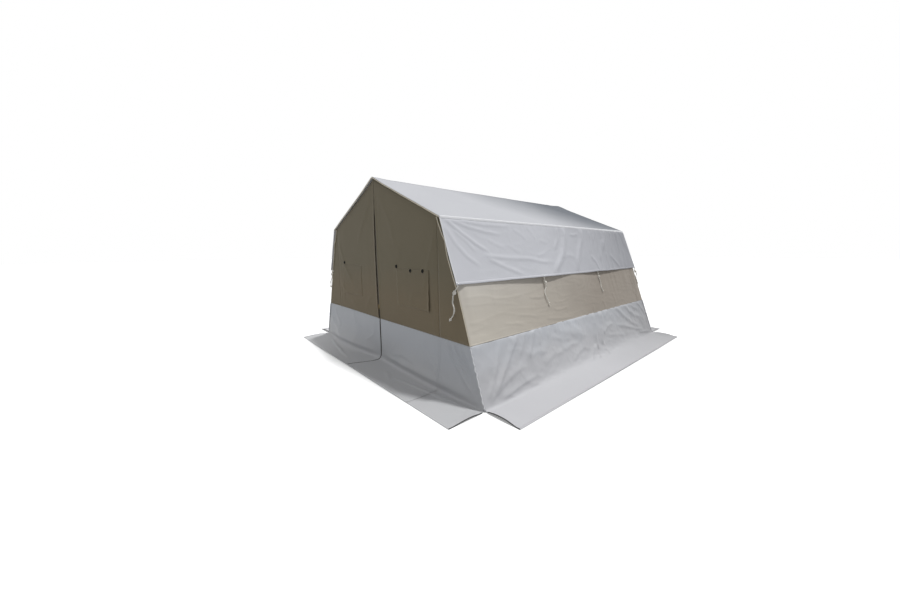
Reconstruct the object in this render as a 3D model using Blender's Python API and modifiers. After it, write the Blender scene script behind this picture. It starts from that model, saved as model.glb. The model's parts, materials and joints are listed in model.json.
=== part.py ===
"""Insulated shelter tent on a tube frame, in metres, +Z up, front gable towards -Y.

The origin is on the ground, at the centre of the floor. Three arches of steel tube carry a canvas
body, a coated roof fly with two skirts, a coated sod wall with mud flaps, and a quilted inner liner.
The front gable is two door leaves that meet at a middle zip.
"""

import math

import bmesh
import bpy
from mathutils import Matrix, Vector

# Overall shape, measured on the outer face of the canvas.
FLOOR_WIDTH = 4.00
FLOOR_LENGTH = 4.00
EAVE_WIDTH = 2.78
EAVE_HEIGHT = 1.77
RIDGE_HEIGHT = 2.34

# Clearance between solids that touch.
FIT_GAP = 0.0003

# Cloth.
CANVAS = 0.0012
COATED = 0.0010
FLY = 0.0010
QUILT = 0.015
DOOR_QUILT = 0.010
NET = 0.0006
GROUND_CLOTH = 0.0008

SOD_HEIGHT = 0.56
MUD_FLAP = 0.41
FLY_OVERHANG = 0.022
SKIRT_DROP = 0.66
SKIRT_FLARE = math.radians(2.0)

# Door leaves, from the middle zip to the seam that they fold back on, which stands inside the eave.
DOOR_SEAM_INSET = 0.060
DOOR_SLIT = 0.0020
DOOR_HINGE_GAP = 0.0010
DOOR_TOP_GAP = 0.010
DOOR_FLAP_LIFT = 0.0004
QUILT_TOP_GAP = 0.050
QUILT_SIDE_GAP = 0.020
QUILT_LIFT = 0.070

# Window in each leaf, with a net in it and a cover that hangs from its top edge.
WINDOW_SEAM_GAP = 0.184
WINDOW_SILL = 0.83
WINDOW_WIDTH = 0.62
WINDOW_HEIGHT = 0.38
COVER_LAP = 0.030

# Steel frame.
TUBE_RADIUS = 0.016
TUBE_WALL = 0.0015
SOCKET_WALL = 0.0028
SOCKET_LENGTH = 0.085
HUB_SWELL = 0.0015
SOCKET_FLOOR = 0.024
TUBE_SIDES = 16
HUB_RINGS = 8
FOOT_PLATE = 0.090
FOOT_PLATE_THICKNESS = 0.004
PEG_HOLE_RADIUS = 0.007

# Tapes that tie the skirts down, from the front tie to the rear one on each side.
TIE_RADIUS = 0.005
TIE_END_INSET = 0.012
TIE_LEAD = 0.014
TIE_STEPS = 3

# A tie's route below the skirt's hem, as distances out from the wall, towards the rear and down.
BESIDE_CORNER = (
    (0.026, 0.004, 0.050),
    (0.034, 0.008, 0.095),
    (0.018, -0.002, 0.150),
    (0.012, -0.008, 0.215),
    (0.010, -0.004, 0.290),
)
ACROSS_GABLE = (
    (-0.006, -0.012, 0.055),
    (-0.052, -0.022, 0.110),
    (-0.066, -0.026, 0.160),
    (-0.060, -0.030, 0.215),
    (-0.105, -0.032, 0.290),
    (-0.180, -0.034, 0.350),
)
DOWN_WALL = (
    (0.022, 0.004, 0.050),
    (0.016, 0.018, 0.105),
    (0.010, -0.026, 0.165),
    (0.009, -0.030, 0.245),
    (0.009, 0.002, 0.345),
)
DOWN_WALL_SHORT = (
    (0.022, 0.002, 0.055),
    (0.014, 0.010, 0.120),
    (0.009, 0.016, 0.190),
    (0.009, 0.004, 0.250),
    (0.009, 0.024, 0.300),
)
TIE_ROUTES = {
    "left": (BESIDE_CORNER, DOWN_WALL_SHORT, DOWN_WALL, BESIDE_CORNER),
    "right": (ACROSS_GABLE, DOWN_WALL, DOWN_WALL_SHORT, BESIDE_CORNER),
}

# Zip slider.
SLIDER_WIDTH = 0.014
SLIDER_HEIGHT = 0.024
SLIDER_DEPTH = 0.008
SLIDER_AT = 0.72
PULL_WIDTH = 0.009
PULL_LENGTH = 0.042
PULL_DEPTH = 0.0022

# Sizes that follow from the ones above.
HALF_LENGTH = FLOOR_LENGTH / 2
FOOT_LINE = Vector((FLOOR_WIDTH / 2, 0))
EAVE_LINE = Vector((EAVE_WIDTH / 2, EAVE_HEIGHT))
RIDGE_LINE = Vector((0, RIDGE_HEIGHT))
WALL_UP = (EAVE_LINE - FOOT_LINE).normalized()
ROOF_UP = (RIDGE_LINE - EAVE_LINE).normalized()
WALL_IN = Vector((-WALL_UP.y, WALL_UP.x))
ROOF_IN = Vector((-ROOF_UP.y, ROOF_UP.x))
SOCKET_BORE = (TUBE_RADIUS + FIT_GAP) / math.cos(math.pi / TUBE_SIDES)
SOCKET_RADIUS = SOCKET_BORE + SOCKET_WALL
HUB_RADIUS = SOCKET_RADIUS + HUB_SWELL
FRAME_INSET = CANVAS + FIT_GAP + HUB_RADIUS
ARCH_Y = HALF_LENGTH - FRAME_INSET
LINER_INSET = FRAME_INSET + SOCKET_RADIUS + FIT_GAP
LINER_END = ARCH_Y - SOCKET_RADIUS - FIT_GAP
DOOR_HALF_WIDTH = EAVE_LINE.x - DOOR_SEAM_INSET
WINDOW_HEAD = WINDOW_SILL + WINDOW_HEIGHT
WINDOW_CENTRE_X = DOOR_HALF_WIDTH - WINDOW_SEAM_GAP - WINDOW_WIDTH / 2

SIDES = (("left", -1), ("right", 1))
ARCHES = (("front", -ARCH_Y), ("middle", 0.0), ("rear", ARCH_Y))
BAYS = (("front", -ARCH_Y, 0.0), ("rear", 0.0, ARCH_Y))


# Profile of the tent, as x and z.


def wall_x(z, inset=0.0):
    """x of the right wall's plane at height z, moved inwards by inset."""
    return FOOT_LINE.x + (inset - z * WALL_IN.y) / WALL_IN.x


def roof_z(x, inset=0.0):
    """Height of the right roof plane at x, moved inwards by inset."""
    return EAVE_LINE.y + (inset - (x - EAVE_LINE.x) * ROOF_IN.x) / ROOF_IN.y


def eave_point(inset=0.0):
    """Where the wall and roof planes meet, both moved inwards by inset."""
    det = WALL_IN.x * ROOF_IN.y - WALL_IN.y * ROOF_IN.x
    wall = inset + WALL_IN.dot(EAVE_LINE)
    roof = inset + ROOF_IN.dot(EAVE_LINE)
    return Vector(((wall * ROOF_IN.y - roof * WALL_IN.y) / det, (roof * WALL_IN.x - wall * ROOF_IN.x) / det))


def ridge_point(inset=0.0):
    return Vector((0.0, roof_z(0.0, inset)))


def mirrored(points, side):
    """The same points on the left or the right of the middle plane."""
    return [Vector((side * p[0], p[1])) for p in points]


def gable_outline(z_low, inset):
    """Five-sided outline of a gable from height z_low up, inset from the canvas."""
    right = [Vector((wall_x(z_low, inset), z_low)), eave_point(inset)]
    return right + [ridge_point(inset)] + mirrored(right[::-1], -1)


# Blender objects.


def clear_scene():
    for old in list(bpy.data.objects):
        bpy.data.objects.remove(old)


def collection(name, hidden=False):
    made = bpy.data.collections.new(name)
    made.hide_render = hidden
    bpy.context.scene.collection.children.link(made)
    return made


def material(name, colour, roughness, metallic=0.0):
    made = bpy.data.materials.new(name)
    made.use_nodes = True
    shader = made.node_tree.nodes["Principled BSDF"]
    shader.inputs["Base Color"].default_value = (*colour, 1.0)
    shader.inputs["Roughness"].default_value = roughness
    shader.inputs["Metallic"].default_value = metallic
    return made


def add(data, name, finish=None):
    """A new object in the tent's collection, or an empty where there is no data."""
    made = bpy.data.objects.new(name, data)
    TENT.objects.link(made)
    if finish:
        data.materials.append(finish)
    return made


def helper(made):
    """Marks an object as a cutter or a joined shape, which isn't a part."""
    TENT.objects.unlink(made)
    HELPERS.objects.link(made)
    made.hide_render = True
    made.display_type = "WIRE"
    return made


def section(name, outline, y_low, y_high, finish=None, holes=()):
    """A flat outline in x and z, with holes, drawn out along Y from y_low to y_high."""
    curve = bpy.data.curves.new(name, "CURVE")
    curve.dimensions = "2D"
    curve.fill_mode = "BOTH"
    curve.extrude = (y_high - y_low) / 2
    for loop in (outline, *holes):
        spline = curve.splines.new("POLY")
        spline.points.add(len(loop) - 1)
        for point, (x, z) in zip(spline.points, loop):
            point.co = (x, z, 0.0, 1.0)
        spline.use_cyclic_u = True
    made = add(curve, name, finish)
    made.rotation_euler = (math.pi / 2, 0.0, 0.0)
    made.location.y = (y_low + y_high) / 2
    return made


def rectangle(x_low, x_high, z_low, z_high):
    return [(x_low, z_low), (x_high, z_low), (x_high, z_high), (x_low, z_high)]


def rounded_rectangle(x_low, x_high, z_low, z_high, radius, steps=4):
    """A rectangle's outline with its corners rounded by arcs."""
    centres = (
        (x_high - radius, z_low + radius, -90),
        (x_high - radius, z_high - radius, 0),
        (x_low + radius, z_high - radius, 90),
        (x_low + radius, z_low + radius, 180),
    )
    outline = []
    for x, z, start in centres:
        for step in range(steps + 1):
            turn = math.radians(start + 90 * step / steps)
            outline.append((x + radius * math.cos(turn), z + radius * math.sin(turn)))
    return outline


def box(name, low, high, finish=None):
    """A closed box between two corners."""
    low, high = Vector(low), Vector(high)
    mesh = bpy.data.meshes.new(name)
    form = bmesh.new()
    bmesh.ops.create_cube(form, size=1.0)
    size = high - low
    bmesh.ops.scale(form, vec=size, verts=form.verts)
    form.to_mesh(mesh)
    form.free()
    made = add(mesh, name, finish)
    made.location = (low + high) / 2
    return made


def on_pivot(name, place, pieces):
    """An empty on a joint's axis, which carries the pieces that move together."""
    pivot = add(None, name)
    pivot.location = place
    for piece in pieces:
        piece.parent = pivot
        piece.matrix_parent_inverse = Matrix.Translation(-Vector(place))
    return pivot


def along(start, end):
    """Rotation that turns +Z to point from start to end."""
    return (Vector(end) - Vector(start)).to_track_quat("Z", "Y").to_euler()


def rod(name, start, end, radius, sides=TUBE_SIDES):
    """A solid round bar between two points, as a helper for a Boolean."""
    start, end = Vector(start), Vector(end)
    mesh = bpy.data.meshes.new(name)
    form = bmesh.new()
    bmesh.ops.create_cone(
        form, cap_ends=True, segments=sides, radius1=radius, radius2=radius, depth=(end - start).length
    )
    form.to_mesh(mesh)
    form.free()
    made = add(mesh, name)
    made.location = (start + end) / 2
    made.rotation_euler = along(start, end)
    return helper(made)


def pipe(name, start, end, finish):
    """A frame tube between two points: the wall's section, turned about the tube's axis."""
    length = (Vector(end) - Vector(start)).length
    inner = TUBE_RADIUS - TUBE_WALL
    corners = [(TUBE_RADIUS, 0, length), (TUBE_RADIUS, 0, 0), (inner, 0, 0), (inner, 0, length)]
    mesh = bpy.data.meshes.new(name)
    mesh.from_pydata(corners, [(0, 1), (1, 2), (2, 3), (3, 0)], [])
    made = add(mesh, name, finish)
    turn = made.modifiers.new("turned_wall", "SCREW")
    turn.steps = turn.render_steps = TUBE_SIDES
    turn.use_merge_vertices = True
    turn.merge_threshold = 0.00001
    turn.use_smooth_shade = False
    made.location = start
    made.rotation_euler = along(start, end)
    return made


def boolean(target, other, operation):
    change = target.modifiers.new(f"{operation.lower()}_{other.name}", "BOOLEAN")
    change.operation = operation
    change.object = other
    return target


def baked(made):
    """The object with its modifiers applied, its helpers removed and its round sides shaded smooth."""
    bpy.context.view_layer.update()
    seen = bpy.context.evaluated_depsgraph_get()
    mesh = bpy.data.meshes.new_from_object(made.evaluated_get(seen))
    helpers = {m.object for m in made.modifiers if m.type == "BOOLEAN"}
    made.modifiers.clear()
    made.data = mesh
    mesh.shade_smooth()
    mesh.set_sharp_from_angle(angle=math.radians(40))
    for used in helpers:
        bpy.data.objects.remove(used)
    return made


def shell(name, points, faces, thickness, finish):
    """An open surface given a thickness on its inner side."""
    mesh = bpy.data.meshes.new(name)
    mesh.from_pydata([tuple(p) for p in points], [], faces)
    made = add(mesh, name, finish)
    wall = made.modifiers.new("thickness", "SOLIDIFY")
    wall.thickness = thickness
    wall.offset = -1.0
    wall.use_even_offset = True
    wall.use_quality_normals = True
    return made


# Steel frame.


def frame_point(profile_point, side, y):
    return Vector((side * profile_point.x, y, profile_point.y))


def socket_block(name, centre, ends, finish):
    """A welded connector: a hub with a sleeve towards each of the ends, bored for a tube.

    Two sleeves in one line are a single tube through the hub.
    """
    mesh = bpy.data.meshes.new(name)
    form = bmesh.new()
    bmesh.ops.create_uvsphere(form, u_segments=TUBE_SIDES, v_segments=HUB_RINGS, radius=HUB_RADIUS)
    form.to_mesh(mesh)
    form.free()
    made = add(mesh, name, finish)
    made.location = centre
    bores = [(Vector(end) - centre).normalized() for end in ends]
    ways = list(bores)
    while ways:
        way = ways.pop()
        through = [other for other in ways if other.dot(way) < -0.999]
        ways = [other for other in ways if other not in through]
        back = way * SOCKET_LENGTH if through else way * SOCKET_RADIUS / 3
        boolean(made, rod("sleeve", centre - back, centre + way * SOCKET_LENGTH, SOCKET_RADIUS), "UNION")
    for way in bores:
        mouth = centre + way * (SOCKET_LENGTH + SOCKET_WALL)
        boolean(made, rod("bore", centre + way * SOCKET_FLOOR, mouth, SOCKET_BORE), "DIFFERENCE")
    return baked(made)


def seated(start, end, open_start=False):
    """The ends of a tube that seats in the connectors at start and end; open_start keeps the start as it is."""
    way = (end - start).normalized() * (SOCKET_FLOOR + FIT_GAP)
    return (start if open_start else start + way), end - way


def plate_edge():
    """x of a foot plate's outer edge, which clears the inner face of the sod wall."""
    return wall_x(FOOT_PLATE_THICKNESS, COATED + FIT_GAP)


def leg(name, foot, eave, side, y, finish):
    """A leg tube cut level at the ground and welded to a foot plate that reaches inwards."""
    below = foot - (eave - foot).normalized() * TUBE_RADIUS
    start, end = seated(below, eave, open_start=True)
    made = pipe(name, start, end, finish)
    reach = FOOT_PLATE
    weld = FOOT_PLATE_THICKNESS / 2
    ground = box("ground", (-reach, -reach, -reach), (reach, reach, weld))
    ground.location += Vector((foot.x, foot.y, 0.0))
    boolean(made, helper(ground), "DIFFERENCE")
    outer_x = plate_edge()
    inner_x = outer_x - FOOT_PLATE
    outer_y = HALF_LENGTH - CANVAS - COATED - FIT_GAP
    mid_y = 0.0 if y == 0 else math.copysign(outer_y - FOOT_PLATE / 2, y)
    half = FOOT_PLATE / 2
    outline = rounded_rectangle(-half, half, -half, half, half / 4, 3)
    plate = section("plate", outline, 0.0, FOOT_PLATE_THICKNESS)
    plate.rotation_euler = (0.0, 0.0, 0.0)
    plate.location = (side * (outer_x + inner_x) / 2, mid_y, FOOT_PLATE_THICKNESS / 2)
    boolean(made, helper(as_mesh(plate)), "UNION")
    peg = Vector((side * (inner_x + FOOT_PLATE / 4), mid_y - math.copysign(half / 2, y) * (y != 0), 0.0))
    drop = Vector((0.0, 0.0, FOOT_PLATE_THICKNESS))
    boolean(made, rod("peg_hole", peg - drop, peg + 2 * drop, PEG_HOLE_RADIUS, 12), "DIFFERENCE")
    return baked(made)


def as_mesh(made):
    """A curve object turned into a mesh object with its caps welded."""
    bpy.context.view_layer.update()
    seen = bpy.context.evaluated_depsgraph_get()
    mesh = bpy.data.meshes.new_from_object(made.evaluated_get(seen))
    form = bmesh.new()
    form.from_mesh(mesh)
    bmesh.ops.remove_doubles(form, verts=form.verts, dist=0.00001)
    form.to_mesh(mesh)
    form.free()
    name = made.name
    place = made.matrix_world.copy()
    bpy.data.objects.remove(made)
    solid = add(mesh, name)
    solid.matrix_world = place
    return solid


def build_frame(steel):
    foot = Vector((wall_x(0.0, FRAME_INSET), 0.0))
    eave = eave_point(FRAME_INSET)
    ridge = ridge_point(FRAME_INSET)
    for arch, y in ARCHES:
        bays = [far for _, near, far in BAYS if near == y] + [near for _, near, far in BAYS if far == y]
        top = frame_point(ridge, 1, y)
        rafter_ends = [frame_point(eave, side, y) for _, side in SIDES]
        socket_block(f"ridge_cap_{arch}", top, rafter_ends + [frame_point(ridge, 1, b) for b in bays], steel)
        for where, side in SIDES:
            low, corner = frame_point(foot, side, y), frame_point(eave, side, y)
            leg(f"leg_{arch}_{where}", low, corner, side, y, steel)
            pipe(f"rafter_{arch}_{where}", *seated(corner, top), steel)
            rails = [frame_point(eave, side, b) for b in bays]
            socket_block(f"eave_corner_{arch}_{where}", corner, [low, top] + rails, steel)
    for bay, near, far in BAYS:
        pipe(f"ridge_pole_{bay}", *seated(frame_point(ridge, 1, near), frame_point(ridge, 1, far)), steel)
        for where, side in SIDES:
            ends = frame_point(eave, side, near), frame_point(eave, side, far)
            pipe(f"eave_rail_{where}_{bay}", *seated(*ends), steel)


# Canvas, fly and sod cloth.


def build_canvas(canvas):
    low = SOD_HEIGHT + FIT_GAP
    outer = [Vector((wall_x(low), low)), eave_point(), ridge_point()]
    inner = [Vector((wall_x(low, CANVAS), low)), eave_point(CANVAS), ridge_point(CANVAS)]
    outline = outer + mirrored(outer[1::-1], -1) + mirrored(inner[:2], -1) + inner[::-1]
    section("canvas_shell", outline, -HALF_LENGTH, HALF_LENGTH, canvas)
    inset = CANVAS + FIT_GAP
    section("rear_gable", gable_outline(low, inset), HALF_LENGTH - CANVAS, HALF_LENGTH, canvas)
    for where, side in SIDES:
        panel = [
            (DOOR_HALF_WIDTH, low),
            (wall_x(low, inset), low),
            eave_point(inset),
            (DOOR_HALF_WIDTH, roof_z(DOOR_HALF_WIDTH, inset)),
        ]
        front = -HALF_LENGTH
        section(f"front_panel_{where}", mirrored(panel, side), front, front + CANVAS, canvas)


def build_fly(fly, tape):
    lie = -FIT_GAP
    top = -(FIT_GAP + FLY)
    outer = [eave_point(top), ridge_point(top)]
    inner = [eave_point(top) + ROOF_IN * FLY, ridge_point(lie)]
    outline = outer + mirrored(outer[:1], -1) + mirrored(inner[:1], -1) + inner[::-1]
    reach = HALF_LENGTH + FLY_OVERHANG
    section("roof_fly", outline, -reach, reach, fly)
    hinge = eave_point(top)
    turn = Matrix.Rotation(SKIRT_FLARE, 2)
    down = turn @ -WALL_UP
    inwards = turn @ WALL_IN
    start = hinge + down * (FLY * ROOF_IN.dot(down) + FIT_GAP)
    end = hinge + down * skirt_length()
    for where, side in SIDES:
        skirt = [start, end, end + inwards * FLY, start + inwards * FLY]
        hung = section(f"fly_skirt_{where}", mirrored(skirt, side), -reach, reach, fly)
        on_pivot(f"skirt_pivot_{where}", (side * hinge.x, 0.0, hinge.y), [hung, *build_ties(where, side, tape)])


def skirt_length():
    return SKIRT_DROP / WALL_UP.y


def skirt_hem():
    """The outer point of the right skirt's lower edge, and the way the skirt hangs."""
    down = Matrix.Rotation(SKIRT_FLARE, 2) @ -WALL_UP
    return eave_point(-(FIT_GAP + FLY)) + down * skirt_length(), down


def build_sod_cloth(coated):
    """The sod wall runs from one door leaf round the back to the other, with a flap at each front corner."""
    x_low, x_top = wall_x(COATED), wall_x(SOD_HEIGHT)
    path = ((DOOR_HALF_WIDTH, -1), (None, -1), (None, 1))
    right = [(x, y * HALF_LENGTH) for x, y in path]
    ring = right + [(x if x is None else -x, y) for x, y in right[::-1]]
    points, faces = [], []
    for index, (x, y) in enumerate(ring):
        side = 1 if index < len(right) else -1
        points.append((x if x is not None else side * x_low, y, COATED))
        points.append((x if x is not None else side * x_top, y, SOD_HEIGHT))
    for index in range(len(ring) - 1):
        a = 2 * index
        faces.append((a, a + 2, a + 3, a + 1))
    outer_y = -HALF_LENGTH - MUD_FLAP
    for first, second in ((0, 2), (2 * len(ring) - 4, 2 * len(ring) - 2)):
        near = len(points)
        points.append((points[first][0], outer_y, COATED))
        points.append((points[second][0], outer_y, COATED))
        faces.append((near, near + 1, second, first))
    shell("sod_wall", points, faces, COATED, coated)
    near, far = FOOT_LINE.x + FIT_GAP, FOOT_LINE.x + MUD_FLAP
    for where, side in SIDES:
        low, high = sorted((side * near, side * far))
        flap = box(f"mud_flap_{where}", (low, -HALF_LENGTH, 0), (high, HALF_LENGTH, COATED), coated)
        on_pivot(f"flap_pivot_{where}", (side * near, 0.0, COATED), [flap])
    near, far = HALF_LENGTH + FIT_GAP, HALF_LENGTH + MUD_FLAP
    flap = box("mud_flap_rear", (-FOOT_LINE.x, near, 0), (FOOT_LINE.x, far, COATED), coated)
    on_pivot("flap_pivot_rear", (0.0, near, COATED), [flap])


# Door leaves.


def window_outline(grow=0.0, side=1):
    half = WINDOW_WIDTH / 2 + grow
    low, high = WINDOW_SILL - grow, WINDOW_HEAD + grow
    return mirrored(rectangle(WINDOW_CENTRE_X - half, WINDOW_CENTRE_X + half, low, high), side)


def build_door(where, side, canvas, coated, quilt, net, brass):
    front = -HALF_LENGTH
    middle = DOOR_SLIT / 2
    seam = DOOR_HALF_WIDTH - DOOR_HINGE_GAP
    low = SOD_HEIGHT + FIT_GAP
    inset = CANVAS + DOOR_TOP_GAP
    leaf = [(middle, low), (seam, low), (seam, roof_z(seam, inset)), (middle, roof_z(middle, inset))]
    window = window_outline(0.0, side)
    cloth = section(f"door_leaf_{where}", mirrored(leaf, side), front, front + CANVAS, canvas, [window])
    screen = section(f"window_net_{where}", window_outline(-FIT_GAP, side), front, front + NET, net)
    hung = front - FIT_GAP - CANVAS
    cover = section(f"window_cover_{where}", window_outline(COVER_LAP, side), hung, front - FIT_GAP, canvas)
    flap = on_pivot(f"cover_pivot_{where}", (side * WINDOW_CENTRE_X, hung, WINDOW_HEAD + COVER_LAP), [cover])
    behind = front + CANVAS + FIT_GAP
    backing = [
        (middle, QUILT_LIFT),
        (seam - QUILT_SIDE_GAP, QUILT_LIFT),
        (seam - QUILT_SIDE_GAP, roof_z(seam, inset + QUILT_TOP_GAP)),
        (middle, roof_z(middle, inset + QUILT_TOP_GAP)),
    ]
    outline = mirrored(backing, side)
    padding = section(f"door_quilt_{where}", outline, behind, behind + DOOR_QUILT, quilt, [window])
    foot = build_door_sod(where, side, middle, seam, coated)
    turning = [cloth, screen, flap, padding, foot]
    if side > 0:
        turning.append(build_zip_slider(brass))
    on_pivot(f"door_pivot_{where}", (side * DOOR_HALF_WIDTH, front, 0.0), turning)


def build_door_sod(where, side, middle, seam, coated):
    """The coated foot of a leaf, which turns out over the ground as a mud flap above the fixed one."""
    top = 2 * COATED + DOOR_FLAP_LIFT
    front = -HALF_LENGTH
    near, far = side * middle, side * seam
    points = []
    for x in (near, far):
        points += [(x, front, SOD_HEIGHT), (x, front, top), (x, front - MUD_FLAP, top)]
    faces = [(0, 1, 4, 3), (1, 2, 5, 4)]
    if side < 0:
        faces = [face[::-1] for face in faces]
    return shell(f"door_sod_{where}", points, faces, COATED, coated)


def build_zip_slider(metal):
    """A slider on the right leaf's edge, with a pull that hangs from it."""
    front = -HALF_LENGTH - FIT_GAP
    left = DOOR_SLIT / 2
    right = left + SLIDER_WIDTH
    neck = SLIDER_WIDTH / 5
    body = [
        (left + neck, SLIDER_AT),
        (right - neck, SLIDER_AT),
        (right, SLIDER_AT + SLIDER_HEIGHT * 2 / 3),
        (right - neck, SLIDER_AT + SLIDER_HEIGHT),
        (left + neck, SLIDER_AT + SLIDER_HEIGHT),
        (left, SLIDER_AT + SLIDER_HEIGHT * 2 / 3),
    ]
    made = as_mesh(section("zip_slider", body, front - SLIDER_DEPTH, front))
    made.data.materials.append(metal)
    middle = (left + right) / 2
    half = PULL_WIDTH / 2
    top = SLIDER_AT + SLIDER_HEIGHT / 2
    outline = rounded_rectangle(middle - half, middle + half, top - PULL_LENGTH, top, half * 0.9)
    eye_low = top - PULL_LENGTH + half / 2
    eye = rounded_rectangle(middle - half / 2, middle + half / 2, eye_low, eye_low + PULL_WIDTH, half * 0.45)
    outer = front - SLIDER_DEPTH
    pull = section("pull", outline, outer - PULL_DEPTH / 2, outer + PULL_DEPTH / 2, None, [eye])
    boolean(made, helper(as_mesh(pull)), "UNION")
    return baked(made)


# Ties, liner and groundsheet.


def build_ties(where, side, tape):
    """The tapes of one skirt, evenly spaced between its two ends."""
    routes = TIE_ROUTES[where]
    first = -HALF_LENGTH - FLY_OVERHANG + TIE_END_INSET
    ties = []
    for index, route in enumerate(routes):
        y = first - 2 * first * index / (len(routes) - 1)
        ties.append(build_tie(f"fly_tie_{where}_{index + 1}", side, y, route, tape))
    return ties


def build_tie(name, side, y, route, tape):
    """A tape that leaves the skirt's hem squarely and hangs on along its route."""
    hem, down = skirt_hem()
    start = hem + Vector((down.y, -down.x)) * (FLY / 2) + down * FIT_GAP
    lead = start + down * TIE_LEAD
    way = [Vector((lead.x, y, lead.y))]
    for out, rearwards, below in route:
        z = hem.y - below
        way.append(Vector((wall_x(z) + out, y + rearwards, z)))
    points = [Vector((start.x, y, start.y)), *smooth_route(way, TIE_STEPS)]
    curve = bpy.data.curves.new(name, "CURVE")
    curve.dimensions = "3D"
    curve.bevel_depth = TIE_RADIUS
    curve.bevel_resolution = 2
    curve.use_fill_caps = True
    spline = curve.splines.new("POLY")
    spline.points.add(len(points) - 1)
    for point, place in zip(spline.points, points):
        point.co = (side * place.x, place.y, place.z, 1.0)
    return add(curve, name, tape)


def smooth_route(route, steps):
    """Points along a smooth curve through the route's own points."""
    ends = [route[0] * 2 - route[1], *route, route[-1] * 2 - route[-2]]
    points = []
    for a, b, c, d in zip(ends, ends[1:], ends[2:], ends[3:]):
        for step in range(steps):
            t = step / steps
            bend = (2 * a - 5 * b + 4 * c - d) * t * t + (3 * b - a - 3 * c + d) * t ** 3
            points.append((2 * b + (c - a) * t + bend) / 2)
    return points + [route[-1]]


def build_liner(quilt):
    """The quilted inner room: side walls, roof, back, and the narrow strips beside the door."""
    low = FOOT_PLATE_THICKNESS + FIT_GAP + 1.5 * QUILT * abs(WALL_IN.y)
    edge = Vector((DOOR_HALF_WIDTH, roof_z(DOOR_HALF_WIDTH, LINER_INSET)))
    half = [Vector((wall_x(low, LINER_INSET), low)), eave_point(LINER_INSET), edge, ridge_point(LINER_INSET)]
    ring = half + mirrored(half[2::-1], -1)
    points = [(p.x, y, p.y) for y in (-LINER_END, LINER_END) for p in ring]
    count = len(ring)
    faces = [(i, i + count, i + count + 1, i + 1) for i in range(count - 1)]
    faces.append(tuple(range(count, 2 * count))[::-1])
    for side in (1, -1):
        at = len(points)
        points.append((side * DOOR_HALF_WIDTH, -LINER_END, low))
        strip = (0, 1, 2, at) if side > 0 else (at, count - 3, count - 2, count - 1)
        faces.append(strip)
    shell("inner_liner", points, faces, QUILT, quilt)


def build_groundsheet(cloth):
    edge_x = plate_edge() - FOOT_PLATE - FIT_GAP
    edge_y = HALF_LENGTH - CANVAS - COATED - FOOT_PLATE - 2 * FIT_GAP
    box("groundsheet", (-edge_x, -edge_y, 0.0), (edge_x, edge_y, GROUND_CLOTH), cloth)


clear_scene()
TENT = collection("insulated_shelter_tent")
HELPERS = collection("helpers", hidden=True)

STEEL = material("galvanised_steel", (0.55, 0.56, 0.57), 0.42, 0.9)
CANVAS_CLOTH = material("beige_canvas", (0.42, 0.37, 0.28), 0.9)
FLY_CLOTH = material("white_fly", (0.72, 0.73, 0.76), 0.65)
SOD_CLOTH = material("grey_sod_cloth", (0.62, 0.64, 0.68), 0.6)
QUILT_CLOTH = material("quilted_lining", (0.66, 0.62, 0.54), 0.9)
NET_CLOTH = material("window_net", (0.06, 0.06, 0.055), 0.8)
TAPE = material("cotton_tape", (0.78, 0.76, 0.70), 0.9)
BRASS = material("zip_metal", (0.30, 0.24, 0.14), 0.45, 0.9)
GROUND = material("ground_cloth", (0.25, 0.27, 0.29), 0.7)

build_frame(STEEL)
build_canvas(CANVAS_CLOTH)
build_fly(FLY_CLOTH, TAPE)
build_sod_cloth(SOD_CLOTH)
for place, hand in SIDES:
    build_door(place, hand, CANVAS_CLOTH, SOD_CLOTH, QUILT_CLOTH, NET_CLOTH, BRASS)
build_liner(QUILT_CLOTH)
build_groundsheet(GROUND)
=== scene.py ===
# Insulated shelter tent: its cloth, seams, ties, zip and finishes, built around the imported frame.

import json
import math

import bmesh
import bpy
from mathutils import Matrix, Vector, noise


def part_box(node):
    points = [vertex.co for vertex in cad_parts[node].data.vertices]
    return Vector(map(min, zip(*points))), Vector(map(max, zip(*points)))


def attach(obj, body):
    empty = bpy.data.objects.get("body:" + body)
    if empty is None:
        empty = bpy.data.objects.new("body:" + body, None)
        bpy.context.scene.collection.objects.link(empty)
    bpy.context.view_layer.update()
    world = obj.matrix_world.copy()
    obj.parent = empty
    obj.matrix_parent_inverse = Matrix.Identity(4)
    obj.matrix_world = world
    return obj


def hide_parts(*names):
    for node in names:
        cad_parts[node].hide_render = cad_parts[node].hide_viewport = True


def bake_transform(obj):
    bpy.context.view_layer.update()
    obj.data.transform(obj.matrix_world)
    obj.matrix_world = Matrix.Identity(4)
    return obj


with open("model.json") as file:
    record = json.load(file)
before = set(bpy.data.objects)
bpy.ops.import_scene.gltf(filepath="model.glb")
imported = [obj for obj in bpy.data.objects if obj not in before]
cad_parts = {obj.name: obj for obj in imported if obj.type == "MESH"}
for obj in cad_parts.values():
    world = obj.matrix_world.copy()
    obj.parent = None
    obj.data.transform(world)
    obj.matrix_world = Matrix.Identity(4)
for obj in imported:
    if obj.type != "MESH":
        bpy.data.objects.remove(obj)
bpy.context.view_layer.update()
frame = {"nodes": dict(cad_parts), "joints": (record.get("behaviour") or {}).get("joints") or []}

joints = {joint["name"]: joint for joint in frame["joints"]}
skirtHinge = Vector(joints["skirt_right_hinge"]["pos_m"])

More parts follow.
